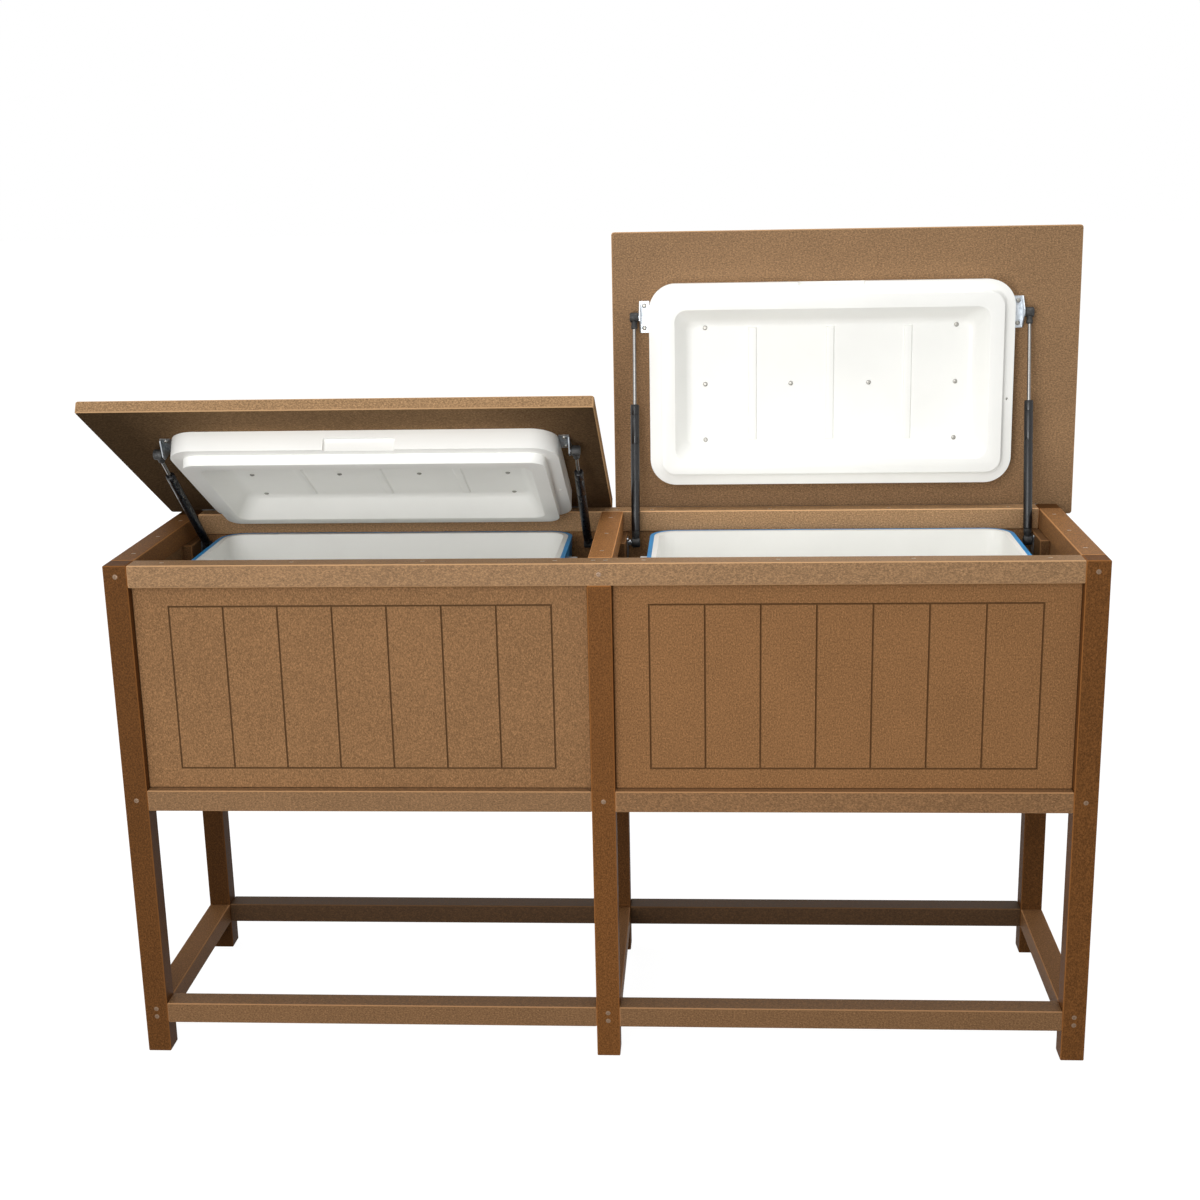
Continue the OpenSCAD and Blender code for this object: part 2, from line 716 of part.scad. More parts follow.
module lid_bracket() {
    difference() {
        translate([flange_x, -bracket_l / 2, -bracket_t]) cube([bracket_w, bracket_l, bracket_t]);
        for (y = BRACKET_SCREWS) translate([flange_x + bracket_w / 2, y, -bracket_t - over])
            cylinder(r = shank_r + screw_clear, h = bracket_t + 2 * over, $fn = turn_fn);
    }
    translate([flange_x, 0, 0]) rotate([90, 0, 90]) linear_extrude(bracket_t)
        polygon(concat(flange_half, [for (i = [3:-1:0]) [-flange_half[i].x, flange_half[i].y]]));
    translate([0, 0, -high_ball_drop]) turned_ball(ball_r, stud_r, flange_x + bracket_t / 2);
}

// Each bracket, drawn from the board above the ball, with its foot towards the chest lid
module at_brackets(side) {
    for (outer = [false, true]) translate([strut_x(side, outer), high_ball_y, under_z])
        rotate([0, 0, block_way(side, outer) > 0 ? 0 : 180]) children();
}

module lid_brackets(side) {
    color(zinc_colour) opened(side) at_brackets(side) lid_bracket();
}

// Gas struts, drawn standing up from the lower ball
function strut_ends(angle) = on_lid(high_ball_y, high_ball_z, angle) - [low_ball_y, low_ball_z];
function strut_length(side) = norm(strut_ends(open_angle(side)));
function strut_turn(side) = let (e = strut_ends(open_angle(side))) atan2(e.y, e.x) - quarter_angle;
socket_neck = 20;
guide_l = 14;
crimps = [18, 68];
crimp_d = 0.5;
ball_clear = 0.3;
rod_clear = 0.08;
piston_l = 8;
low_neck_r = 7;
high_neck_r = 5.5;
mouth_r = 3.75;
foot_clear = 0.4;
// Distance from the upper ball to the piston
rod_l = norm(strut_ends(widest_angle)) - tube_l + guide_l + piston_spare;

module strut_place(side, outer) {
    translate([strut_x(side, outer), low_ball_y, low_ball_z]) rotate([strut_turn(side), 0, 0]) children();
}

// The cup round a ball, open on the side of the stud
module socket(way, neck, r) {
    difference() {
        union() {
            rotate([0, 90, 0]) cylinder(r = socket_r, h = socket_w, center = true, $fn = turn_fn);
            cylinder(r = r, h = neck, $fn = turn_fn);
        }
        rotate([0, 0, way > 0 ? 0 : 180]) turned_ball(ball_r + ball_clear, mouth_r, socket_w);
    }
}

// The lower ball and its stud stay in the socket, and the foot of the stud clears the plate
module low_ball(side, outer) {
    way = -block_way(side, outer);
    reach = abs(strut_x(side, outer) - plate_face(side, outer));
    rotate([0, 0, way > 0 ? 0 : 180]) turned_ball(ball_r, stud_r, reach - foot_clear);
}

module strut_tube(side, outer) {
    color(black_colour) strut_place(side, outer) {
        socket(-block_way(side, outer), socket_neck, low_neck_r);
        low_ball(side, outer);
        rotate_extrude($fn = turn_fn)
            polygon(concat([[0, socket_neck], [tube_r - ease, socket_neck], [tube_r, socket_neck + ease]],
                [for (i = [len(crimps) - 1:-1:0]) let (z = tube_l - crimps[i]) each
                    [[tube_r, z - crimp_d], [tube_r - crimp_d, z], [tube_r, z + crimp_d]]],
                [[tube_r, tube_l - ease], [tube_r - ease, tube_l], [rod_r + rod_clear, tube_l],
                [rod_r + rod_clear, tube_l - guide_l], [tube_r - tube_wall, tube_l - guide_l],
                [tube_r - tube_wall, socket_neck + tube_wall], [0, socket_neck + tube_wall]]));
    }
}

module strut_rod(side, outer) {
    way = block_way(side, outer);
    color(zinc_colour) strut_place(side, outer) translate([0, 0, strut_length(side)]) rotate([180, 0, 0]) {
        socket(way, socket_neck, high_neck_r);
        translate([0, 0, socket_neck]) cylinder(r = rod_r, h = rod_l - socket_neck, $fn = turn_fn);
        translate([0, 0, rod_l]) cylinder(r = tube_r - tube_wall - rod_clear, h = piston_l, $fn = turn_fn);
    }
}

// Chests, drawn from the centre of their rim
rim_z = under_z - skirt_h - rim_gap;
chest_h = rim_z - low_rail_z;
base_in = chest_draft;
layer_gap = 0.2;
flange_t = 4;

module at_rim(side) {
    translate([side * bay_mid, mid_y, rim_z]) children();
}

// The solid inside one skin of a chest: inset at the rim, inset at the base, height of its base
module tub(top_in, low_in, low_z, top_z = 0) {
    loft([inset_ring(low_in, low_z), inset_ring(top_in, top_z)]);
}

foot_round = 6;
drain_z = bottom_t + drain_r + liner_t - chest_h;
drain_flange = 5;
drain_clear = 0.3;

// How far the outside of a chest has leaned in at a height below the rim
function shell_inset(z) = -base_in * z / (chest_h - foot_round);
drain_face = chest_l / 2 + layer_gap - shell_inset(drain_z + drain_r + drain_flange);

// The two chests are alike, with the drain in the same end
module at_drain() {
    translate([-drain_face, 0, drain_z]) rotate([0, -90, 0]) children();
}

module drain_bore() {
    at_drain() translate([0, 0, -wall_base - chest_draft])
        cylinder(r = drain_r + drain_clear, h = wall_base + 2 * chest_draft, $fn = turn_fn);
}

module chest_shell(side) {
    color(blue_colour) at_rim(side) difference() {
        loft([inset_ring(base_in + foot_round, -chest_h), inset_ring(base_in, foot_round - chest_h),
            inset_ring(0, 0)]);
        tub(shell_rim, base_in + shell_t, shell_t - chest_h);
        loft([inset_ring(shell_rim, -over), inset_ring(shell_rim, over)]);
        drain_bore();
    }
}

module chest_liner(side) {
    lip_in = shell_rim + layer_gap;
    top_in = mouth_in;
    low_in = base_in + wall_base;
    color(white_colour) at_rim(side) difference() {
        union() {
            loft([inset_ring(lip_in + ease, -flange_t), inset_ring(lip_in, ease - flange_t),
                inset_ring(lip_in, 0)]);
            tub(top_in - liner_t, low_in - liner_t, bottom_t - chest_h);
        }
        tub(top_in, low_in, bottom_t + liner_t - chest_h);
        loft([inset_ring(top_in, -over), inset_ring(top_in, over)]);
        drain_bore();
    }
}

module chest_foam(side) {
    lift = shell_t + layer_gap;
    color(foam_colour) at_rim(side) difference() {
        tub(shell_rim + 2 * layer_gap + ease, base_in + lift, lift - chest_h, -flange_t - layer_gap);
        tub(mouth_in - liner_t - layer_gap, base_in + wall_base - liner_t - layer_gap,
            bottom_t - layer_gap - chest_h, over);
        drain_bore();
    }
}

// Carry handles: a hood on each end wall with a finger pocket open below
handle_wall = 4;
handle_r = 8;

module carry_handle() {
    difference() {
        translate([chest_l / 2 - chest_draft, 0, -handle_drop - handle_h / 2]) rotate([0, 90, 0])
            linear_extrude(chest_draft + handle_out) rounded(handle_h, handle_l, handle_r);
        translate([chest_l / 2 - chest_draft - over, handle_wall - handle_l / 2,
            -handle_drop - handle_h - over])
            cube([chest_draft + over + handle_out - handle_wall, handle_l - 2 * handle_wall,
                handle_h - handle_wall + over]);
        tub(-layer_gap, base_in - layer_gap, -chest_h - layer_gap, layer_gap);
    }
}

module carry_handles() {
    color(white_colour) for (side = [LEFT, RIGHT]) for (turn = [0, 180])
        at_rim(side) rotate([0, 0, turn]) carry_handle();
}

module drain_plugs() {
    color(white_colour) for (side = [LEFT, RIGHT]) at_rim(side) at_drain() {
        translate([0, 0, -wall_base]) cylinder(r = drain_r, h = wall_base, $fn = turn_fn);
        cylinder(r = drain_r + drain_flange, h = drain_flange, $fn = turn_fn);
    }
}

leg(0, false);  // leg_front_left
leg(1, false);  // leg_front_centre
leg(2, false);  // leg_front_right
leg(0, true);  // leg_rear_left
leg(1, true);  // leg_rear_centre
leg(2, true);  // leg_rear_right
long_bar(-bay_out, bay_out, top_rail_z, frame_h, false);  // top_rail_front
long_bar(-bay_out, bay_out, top_rail_z, frame_h, true);  // top_rail_rear
cross_bar(0, top_rail_z, frame_h);  // top_rail_left
cross_bar(1, top_rail_z, frame_h);  // top_rail_centre
cross_bar(2, top_rail_z, frame_h);  // top_rail_right
bay_bar(LEFT, low_rail_base, low_rail_z, false);  // lower_rail_front_left
bay_bar(RIGHT, low_rail_base, low_rail_z, false);  // lower_rail_front_right
for (side = [LEFT, RIGHT]) bay_bar(side, low_rail_base, low_rail_z, true);  // lower_rails_rear
for (column = [0:2]) cross_bar(column, low_rail_base, low_rail_z);  // lower_rails_cross
for (side = [LEFT, RIGHT]) bay_bar(side, stretcher_base, stretcher_z, false);  // stretchers_front
for (side = [LEFT, RIGHT]) bay_bar(side, stretcher_base, stretcher_z, true);  // stretchers_rear
for (column = [0:2]) cross_bar(column, stretcher_base, stretcher_z);  // stretchers_cross
front_panel(LEFT);  // panel_front_left
front_panel(RIGHT);  // panel_front_right
rear_panel(LEFT);  // panel_rear_left
rear_panel(RIGHT);  // panel_rear_right
side_panel(LEFT);  // panel_left
side_panel(RIGHT);  // panel_right
centre_panel();  // panel_centre
floor_slats(LEFT);  // floor_slats_left
floor_slats(RIGHT);  // floor_slats_right
floor_cleats();
strut_blocks();
strut_plates();
frame_screws();
hinge_frame_leaves();
hinge_pins();
hinge_lid_leaf(LEFT);  // hinge_lid_leaf_left
hinge_lid_leaf(RIGHT);  // hinge_lid_leaf_right
chest_shell(LEFT);  // chest_shell_left
chest_shell(RIGHT);  // chest_shell_right
chest_liner(LEFT);  // chest_liner_left
chest_liner(RIGHT);  // chest_liner_right
chest_foam(LEFT);  // chest_foam_left
chest_foam(RIGHT);  // chest_foam_right
carry_handles();
drain_plugs();
lid_board(LEFT);  // lid_board_left
lid_board(RIGHT);  // lid_board_right
chest_lid(LEFT);  // chest_lid_left
chest_lid(RIGHT);  // chest_lid_right
lid_brackets(LEFT);  // lid_brackets_left
lid_brackets(RIGHT);  // lid_brackets_right
lid_screws(LEFT);  // lid_screws_left
lid_screws(RIGHT);  // lid_screws_right
strut_rod(LEFT, true);  // strut_rod_left_outer
strut_rod(LEFT, false);  // strut_rod_left_inner
strut_rod(RIGHT, false);  // strut_rod_right_inner
strut_rod(RIGHT, true);  // strut_rod_right_outer
strut_tube(LEFT, true);  // strut_tube_left_outer
strut_tube(LEFT, false);  // strut_tube_left_inner
strut_tube(RIGHT, false);  // strut_tube_right_inner
strut_tube(RIGHT, true);  // strut_tube_right_outer
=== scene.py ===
import json
import math

import bpy
from mathutils import Matrix, Vector


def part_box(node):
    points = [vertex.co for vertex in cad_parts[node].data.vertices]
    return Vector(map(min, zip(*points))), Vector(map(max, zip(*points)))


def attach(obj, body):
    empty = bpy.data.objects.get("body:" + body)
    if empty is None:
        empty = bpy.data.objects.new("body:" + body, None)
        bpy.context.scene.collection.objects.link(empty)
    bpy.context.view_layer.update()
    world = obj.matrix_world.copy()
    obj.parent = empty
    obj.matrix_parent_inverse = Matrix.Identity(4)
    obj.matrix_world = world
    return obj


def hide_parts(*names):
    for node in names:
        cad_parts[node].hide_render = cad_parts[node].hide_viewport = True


bl_info = {
    "name": "Raised ice chest",
    "version": (1, 0, 0),
    "blender": (4, 5, 0),
    "location": "3D View > Sidebar > Ice chest",
    "description": "Dresses a raised double ice chest of recycled plastic lumber",
    "category": "Add Mesh",
}

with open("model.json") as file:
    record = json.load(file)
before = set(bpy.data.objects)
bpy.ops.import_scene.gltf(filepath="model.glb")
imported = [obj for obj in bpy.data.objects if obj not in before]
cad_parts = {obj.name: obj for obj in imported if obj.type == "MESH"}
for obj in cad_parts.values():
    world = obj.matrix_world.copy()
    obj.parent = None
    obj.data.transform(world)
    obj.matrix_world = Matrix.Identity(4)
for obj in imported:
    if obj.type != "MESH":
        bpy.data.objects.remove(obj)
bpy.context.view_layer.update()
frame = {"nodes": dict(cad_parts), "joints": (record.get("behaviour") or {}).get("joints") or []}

MM = 0.001
SIDES = ("left", "right")
ENDS = ("outer", "inner")
JOINTS = {joint["name"]: joint for joint in frame["joints"]}
LENGTH_AXES = {"x": 0, "y": 1, "z": 2}

# Places that the frame gives
LEG_LO, LEG_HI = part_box("leg_front_left")
LEG = LEG_HI.x - LEG_LO.x
HEIGHT = LEG_HI.z
FRONT = LEG_LO.y
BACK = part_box("leg_rear_left")[1].y
END = -LEG_LO.x
TOP_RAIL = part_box("top_rail_front")
LOW_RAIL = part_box("lower_rail_front_left")
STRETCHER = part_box("stretchers_front")
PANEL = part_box("panel_front_left")
MIDDLE_Y = (FRONT + BACK) / 2

# Height of the underside of a shut lid board, which lies just clear of the frame
UNDERSIDE = HEIGHT + 0.3 * MM

# Sizes of a chest lid: skirt, plug, the dish in the plug with its ribs, finger grip and cord hole
SKIRT = 32.5 * MM
PLUG = 17 * MM
PLUG_IN = 20.5 * MM
RIDGE = 23.5 * MM
DISH_SLOPE = 22 * MM
DISH_ROOF = 12 * MM
RIB_PITCH = 133 * MM
RIB_WIDTH = 16 * MM
RIB_HEIGHT = 3 * MM
GRIP_WIDTH = 114 * MM
GRIP_HEIGHT = 20 * MM
GRIP_DEPTH = 6 * MM
CORD_HOLE_RADIUS = 2 * MM
CORD_HOLE_DEPTH = 10 * MM

# Sizes of a gas strut: lengths from the ball that the tube or the rod turns on, and its fittings
TUBE_LENGTH = 239 * MM
CRIMPS_FROM_MOUTH = (68 * MM, 18 * MM)
ROD_LENGTH = 172.2 * MM
TUBE_WALL = 1.5 * MM
PISTON = 8 * MM
SOCKET_NECK = 20 * MM
SOCKET_WIDTH = 15 * MM
BALL_RADIUS = 5 * MM
STUD_RADIUS = 2.75 * MM

# Thickness of the zinc plates and brackets, and of the blocks under the plates
STEEL = 2 * MM
BLOCK = 17 * MM

# A face whose normal is nearer to upright than this counts as level
LEVEL = 0.9


def hinge_of(side):
    """Place of the hinge pin of a lid, and how far the lid stands open at rest, in radians."""
    joint = JOINTS["lid_" + side + "_hinge"]
    return Vector(joint["pos_m"]), math.radians(-joint["range_deg"][0])


def chest_span(side):
    """Where the middle of a chest lies in X, and its length and depth."""
    low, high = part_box("chest_shell_" + side)
    return (low.x + high.x) / 2, high.x - low.x, high.y - low.y


def shut_to_rest(side):
    """Moves what is modelled on a shut lid to where the lid stands at rest."""
    pin, angle = hinge_of(side)
    pin = Vector((0, pin.y, pin.z))
    return Matrix.Translation(pin) @ Matrix.Rotation(-angle, 4, "X") @ Matrix.Translation(-pin)


class LumberSettings(bpy.types.PropertyGroup):
    """Colours and grain of the recycled plastic boards."""
    face: bpy.props.FloatVectorProperty(
        name="Board colour", description="Colour of the rails, panels and lids", subtype="COLOR",
        size=3, min=0, max=1, default=(0.262, 0.138, 0.061))
    leg: bpy.props.FloatVectorProperty(
        name="Leg colour", description="Colour of the legs", subtype="COLOR",
        size=3, min=0, max=1, default=(0.141, 0.062, 0.020))
    fleck: bpy.props.FloatProperty(
        name="Fleck size", description="Size of the flecks in the plastic", subtype="DISTANCE",
        unit="LENGTH", default=0.0022, min=0.001, max=0.02)
    contrast: bpy.props.FloatProperty(
        name="Fleck contrast", description="How far the flecks differ from the board colour",
        default=0.41, min=0, max=1)
    # Painted highlight: how much lighter the eased edges are painted, partly as wear
    arris: bpy.props.FloatProperty(
        name="Arris wear", description="How much lighter the eased edges are",
        default=0.9, min=0, max=1)


class MouldingSettings(bpy.types.PropertyGroup):
    """Sizes and colours of the chests and their lids."""
    white: bpy.props.FloatVectorProperty(
        name="White", description="Colour of the white mouldings", subtype="COLOR",
        size=3, min=0, max=1, default=(0.92, 0.92, 0.885))
    blue: bpy.props.FloatVectorProperty(
        name="Blue", description="Colour of the chest shells", subtype="COLOR",
        size=3, min=0, max=1, default=(0.036, 0.28, 0.60))
    skirt_edge: bpy.props.FloatProperty(
        name="Edge radius", description="Radius of the edges of a chest lid", subtype="DISTANCE",
        unit="LENGTH", default=0.006, min=0.002, max=0.01)
    corner: bpy.props.FloatProperty(
        name="Corner radius", description="Radius of the corners of a chest lid", subtype="DISTANCE",
        unit="LENGTH", default=0.045, min=0.03, max=0.06)
    dish_corner: bpy.props.FloatProperty(
        name="Dish radius", description="Radius of the corners of the dish in a chest lid",
        subtype="DISTANCE", unit="LENGTH", default=0.018, min=0.01, max=0.02)


class StrutSettings(bpy.types.PropertyGroup):
    """Sizes of the gas struts and their fittings."""
    tube_radius: bpy.props.FloatProperty(
        name="Tube radius", description="Outside radius of a strut tube", subtype="DISTANCE",
        unit="LENGTH", default=0.0075, min=0.006, max=0.008)
    rod_radius: bpy.props.FloatProperty(
        name="Rod radius", description="Radius of a strut rod", subtype="DISTANCE",
        unit="LENGTH", default=0.003, min=0.002, max=0.004)
    socket_radius: bpy.props.FloatProperty(
        name="Socket radius", description="Radius of a ball socket", subtype="DISTANCE",
        unit="LENGTH", default=0.0085, min=0.008, max=0.0095)


class ScrewSettings(bpy.types.PropertyGroup):
    """Sizes of the screws that show."""
    head_radius: bpy.props.FloatProperty(
        name="Head radius", description="Radius of a screw head", subtype="DISTANCE",
        unit="LENGTH", default=0.004, min=0.002, max=0.006)


class StageSettings(bpy.types.PropertyGroup):
    """Camera and light."""
    lens: bpy.props.FloatProperty(
        name="Focal length", description="Focal length of the camera in millimetres",
        default=51.74, min=20, max=200)
    key_power: bpy.props.FloatProperty(
        name="Key light", description="Power of the main light", subtype="POWER", unit="POWER",
        default=63, min=0, max=1000)
    sky: bpy.props.FloatProperty(
        name="Sky light", description="Strength of the even light from all round",
        default=0.62, min=0, max=2)


# Work on meshes

def deselect():
    """Leaves object mode with nothing selected."""
    if bpy.context.object and bpy.context.object.mode != "OBJECT":
        bpy.ops.object.mode_set(mode="OBJECT")
    bpy.ops.object.select_all(action="DESELECT")


def choose(piece):
    """Makes one piece the only selected and active one."""
    deselect()
    piece.select_set(True)
    bpy.context.view_layer.objects.active = piece
    return piece


def newest(name):
    """Names the piece that was just added."""
    piece = bpy.context.object
    piece.name = name
    piece.data.name = name
    return piece


def pick(piece, mode, test):
    """Selects the vertices, edges or faces of a piece that pass a test, and stays in edit mode."""
    bpy.ops.object.mode_set(mode="EDIT")
    bpy.ops.mesh.select_mode(type=mode)
    bpy.ops.mesh.select_all(action="DESELECT")
    bpy.ops.object.mode_set(mode="OBJECT")
    items = {"VERT": piece.data.vertices, "EDGE": piece.data.edges, "FACE": piece.data.polygons}[mode]
    found = 0
    for item in items:
        if test(item):
            item.select = True
            found += 1
    if not found:
        raise RuntimeError("nothing to select on " + piece.name)
    bpy.ops.object.mode_set(mode="EDIT")


def place(piece, matrix):
    """Puts a piece where a matrix says and leaves its object at the origin."""
    choose(piece)
    piece.matrix_world = matrix @ piece.matrix_world
    bpy.ops.object.transform_apply(location=True, rotation=True, scale=True)
    return piece


def block(name, low, high):
    """A box from one corner to the other, as a start for shaping."""
    deselect()
    centre = (Vector(low) + Vector(high)) / 2
    bpy.ops.mesh.primitive_cube_add(size=1, location=centre)
    piece = newest(name)
    piece.scale = Vector(high) - Vector(low)
    bpy.ops.object.transform_apply(location=True, rotation=True, scale=True)
    return piece


def turned(name, profile, segments=32):
    """A solid of revolution about Z through (radius, height) pairs, from the first to the last."""
    deselect()
    radius, height = profile[0]
    bpy.ops.mesh.primitive_circle_add(
        vertices=segments, radius=radius, fill_type="NGON", location=(0, 0, height))
    piece = newest(name)
    bpy.ops.object.transform_apply(location=True, rotation=True, scale=True)
    bpy.ops.object.mode_set(mode="EDIT")
    bpy.ops.mesh.select_all(action="SELECT")
    for next_radius, next_height in profile[1:]:
        bpy.ops.mesh.extrude_region_move(
            TRANSFORM_OT_translate={"value": (0, 0, next_height - height)})
        ratio = next_radius / radius
        bpy.ops.transform.resize(value=(ratio, ratio, 1), center_override=(0, 0, next_height))
        radius, height = next_radius, next_height
    bpy.ops.mesh.select_all(action="SELECT")
    bpy.ops.mesh.normals_make_consistent(inside=False)
    bpy.ops.object.mode_set(mode="OBJECT")
    return piece


def modify(piece, kind, **values):
    """Adds a modifier with these values and applies it."""
    choose(piece)
    modifier = piece.modifiers.new(kind.lower(), kind)
    for key, value in values.items():
        setattr(modifier, key, value)
    bpy.ops.object.modifier_apply(modifier=modifier.name)
    return piece


def cut(piece, cutter):
    """Cuts a closed cutter out of a piece."""
    modify(piece, "BOOLEAN", operation="DIFFERENCE", object=cutter, solver="EXACT")
    bpy.data.objects.remove(cutter)
    return piece


def soften(piece, angle=30):
    """Smooth shading, with edges sharper than the angle kept."""
    choose(piece)
    bpy.ops.object.shade_smooth_by_angle(angle=math.radians(angle))
    return piece


def joined(name, pieces):
    """One piece made of several."""
    deselect()
    for piece in pieces:
        piece.select_set(True)
    bpy.context.view_layer.objects.active = pieces[0]
    if len(pieces) > 1:
        bpy.ops.object.join()
    return newest(name)


def copy_of(piece, name):
    """A copy with its own mesh."""
    other = piece.copy()
    other.data = piece.data.copy()
    other.name = name
    other.data.name = name
    bpy.context.scene.collection.objects.link(other)
    return other


def coat(piece, material):
    """Gives a piece one material all over."""
    piece.data.materials.clear()
    piece.data.materials.append(material)


def finish_piece(piece, body, slot, material, *nodes):
    """Gives a piece its finish and its body, and hides the nodes that it stands for."""
    coat(piece, material)
    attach(piece, body)
    if nodes:
        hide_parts(*nodes)
    return piece


def aimed(spot, direction):
    """Brings the origin to a spot and turns +Z to a direction."""
    return Matrix.Translation(spot) @ Vector(direction).to_track_quat("Z", "Y").to_matrix().to_4x4()


# Materials

class Nodes:
    """A node tree under construction, with short ways to add its nodes and to feed their inputs."""

    def __init__(self, tree):
        self.tree = tree

    def feed(self, node, inputs):
        """Gives the inputs of a node numbers, colours, vectors or what other nodes put out."""
        for key, value in inputs.items():
            socket = node.inputs[key]
            if isinstance(value, bpy.types.NodeSocket):
                self.tree.links.new(value, socket)
            elif socket.type == "RGBA":
                socket.default_value = (*value[:3], 1)
            else:
                socket.default_value = value

    def node(self, kind, inputs=None, **values):
        """Adds a node with these values and inputs."""
        made = self.tree.nodes.new("ShaderNode" + kind)
        for key, value in values.items():
            setattr(made, key, value)
        self.feed(made, inputs or {})
        return made

    def math(self, operation, a, b=0.0, clamp=False):
        return self.node("Math", {0: a, 1: b}, operation=operation, use_clamp=clamp).outputs[0]

    def span(self, value, low, high, to_low=0.0, to_high=1.0):
        """Brings a value from one range to another, and keeps it in that range."""
        inputs = {"Value": value, "From Min": low, "From Max": high, "To Min": to_low, "To Max": to_high}
        return self.node("MapRange", inputs, clamp=True).outputs["Result"]

    def seen(self):
        """1 where the camera looks, straight, in a mirror or through glass, and 0 for other light."""
        rays = self.node("LightPath").outputs
        total = self.math("ADD", rays["Is Camera Ray"], rays["Is Glossy Ray"])
        return self.math("ADD", total, rays["Is Transmission Ray"], clamp=True)


class Finish(Nodes):
    """A material under construction."""

    def __init__(self, name):
        self.material = bpy.data.materials.new(name)
        self.material.use_nodes = True
        super().__init__(self.material.node_tree)
        self.shader = self.tree.nodes["Principled BSDF"]

    def blend(self, factor, first, second):
        """The first colour where the factor is 0, the second where it is 1."""
        colours = {0: factor, 6: first, 7: second}
        return self.node("Mix", colours, data_type="RGBA", clamp_result=True).outputs[2]

    def noise(self, vector, scale, detail=2.0, roughness=0.5):
        inputs = {"Vector": vector, "Scale": scale, "Detail": detail, "Roughness": roughness}
        return self.node("TexNoise", inputs).outputs["Fac"]

    def cells(self, vector, scale, output="Distance"):
        return self.node("TexVoronoi", {"Vector": vector, "Scale": scale}).outputs[output]

    def turned_back(self, output, turn, kind):
        """Places or directions on a lid, turned about X back to where they are when it is shut."""
        inputs = {"Vector": self.node("TexCoord").outputs[output], "Rotation": (turn, 0, 0)}
        return self.node("Mapping", inputs, vector_type=kind)

    def place(self, turn=0.0, stretch=(1, 1, 1), offset=(0, 0, 0)):
        """Object coordinates, turned back to a shut lid, moved, and stretched along the board."""
        back = self.turned_back("Object", turn, "POINT")
        self.feed(back, {"Location": offset})
        return self.node("Mapping", {"Vector": back.outputs[0], "Scale": stretch}).outputs[0]

    def shut_normal(self, turn):
        """The three parts of the normal, turned back to a shut lid."""
        back = self.turned_back("Normal", turn, "NORMAL")
        return self.node("SeparateXYZ", {0: back.outputs[0]}).outputs

    def arris(self, turn):
        """1 on faces that lean across the board, 0 on its flat sides."""
        sizes = [self.math("ABSOLUTE", part) for part in self.shut_normal(turn)]
        largest = self.math("MAXIMUM", self.math("MAXIMUM", sizes[0], sizes[1]), sizes[2])
        leaning, flat = 0.80, 0.95
        return self.span(largest, leaning, flat, 1.0, 0.0)

    def underside(self, turn, middle, reach):
        """The mask of the painted shade under a lid: 1 on faces that look down when the lid is shut, and
        less between the ends of the chest lid, where the painted shade is lighter.
        """
        level, square = -0.9, -0.98
        down = self.span(self.shut_normal(turn)[2], level, square)
        spot = self.node("SeparateXYZ", {0: self.node("TexCoord").outputs["Object"]})
        along = self.math("ABSOLUTE", self.math("SUBTRACT", spot.outputs[0], middle))
        inner, outer, least = reach - 0.12, reach + 0.06, 0.3
        return self.math("MULTIPLY", down, self.span(along, inner, outer, least, 1.0))

    def bump(self, height, strength, distance=0.0002):
        inputs = {"Height": height, "Strength": strength, "Distance": distance}
        self.feed(self.shader, {"Normal": self.node("Bump", inputs).outputs["Normal"]})

    def paint(self, colour, roughness, metallic=0.0, gloss=0.5):
        """Gives the shader its colour and sheen, and returns the finished material."""
        self.feed(self.shader, {"Base Color": colour, "Roughness": roughness, "Metallic": metallic,
                                "Specular IOR Level": gloss})
        return self.material


# How much lighter and how much warmer each board is than the common colour: partly a random difference
# between boards, partly painted shade that darkens boards lying in shade (most of all the rear legs, the
# rear rails and stretchers, the strut blocks and the centre panel), and painted sheen that makes the rear
# top rail lighter and the front top rail and lid boards cooler
BOARD_TONES_AND_SHADES = {
    "top_rail_front": (-0.03, -0.22), "top_rail_rear": (0.45, -0.3), "top_rail_left": (-0.2, 0.3),
    "top_rail_centre": (0.2, 0.3), "top_rail_right": (-0.05, 0.2),
    "lower_rail_front_left": (-0.25, -0.1), "lower_rail_front_right": (-0.25, 0.0),
    "lower_rails_rear": (-0.5, 0.1), "lower_rails_cross": (-0.1, 0.1), "stretchers_front": (-0.36, 0.0),
    "stretchers_rear": (-0.78, 0.1), "stretchers_cross": (-0.3, 0.2),
    "panel_front_left": (-0.18, 0.0), "panel_front_right": (-0.17, 0.15), "panel_left": (0.02, 0.0),
    "panel_right": (-0.04, 0.1), "panel_centre": (-0.4, 0.2), "panel_rear_right": (0.03, 0.0),
    "strut_blocks": (-0.5, 0.1), "leg_front_left": (-0.3, 0.2), "leg_front_centre": (0.0, 0.2),
    "leg_front_right": (-0.1, 0.2), "leg_rear_left": (-0.58, 0.2), "leg_rear_centre": (-0.45, 0.2),
    "leg_rear_right": (-0.46, 0.2), "lid_board_left": (0.02, -0.35), "lid_board_right": (-0.07, -0.25),
}
COMMON_TONE = (0, 0)

# How much the long boards shine, and the others; the board of the half open lid looks dull from below
LONG_GLOSS = 0.13
CROSS_GLOSS = 0.05
SHADED_GLOSS = 0.0
# How dark the painted shade on the underside of the half open lid is beside the chest lid
LID_SHADE = 0.74

# How far the pattern is moved from one board to the next, so that no two are alike
PATTERN_STEP = (0.37, 0.61, 0.23)


def lighter(colour, amount):
    """A colour made brighter, or darker for an amount below 0."""
    return tuple(min(1.0, part * (1 + amount)) for part in colour[:3])


def warmer(colour, amount):
    """A colour with less blue and green in it, or with more for an amount below 0."""
    red, green, blue = colour[:3]
    return (red, green * (1 - 0.45 * amount), blue * (1 - amount))


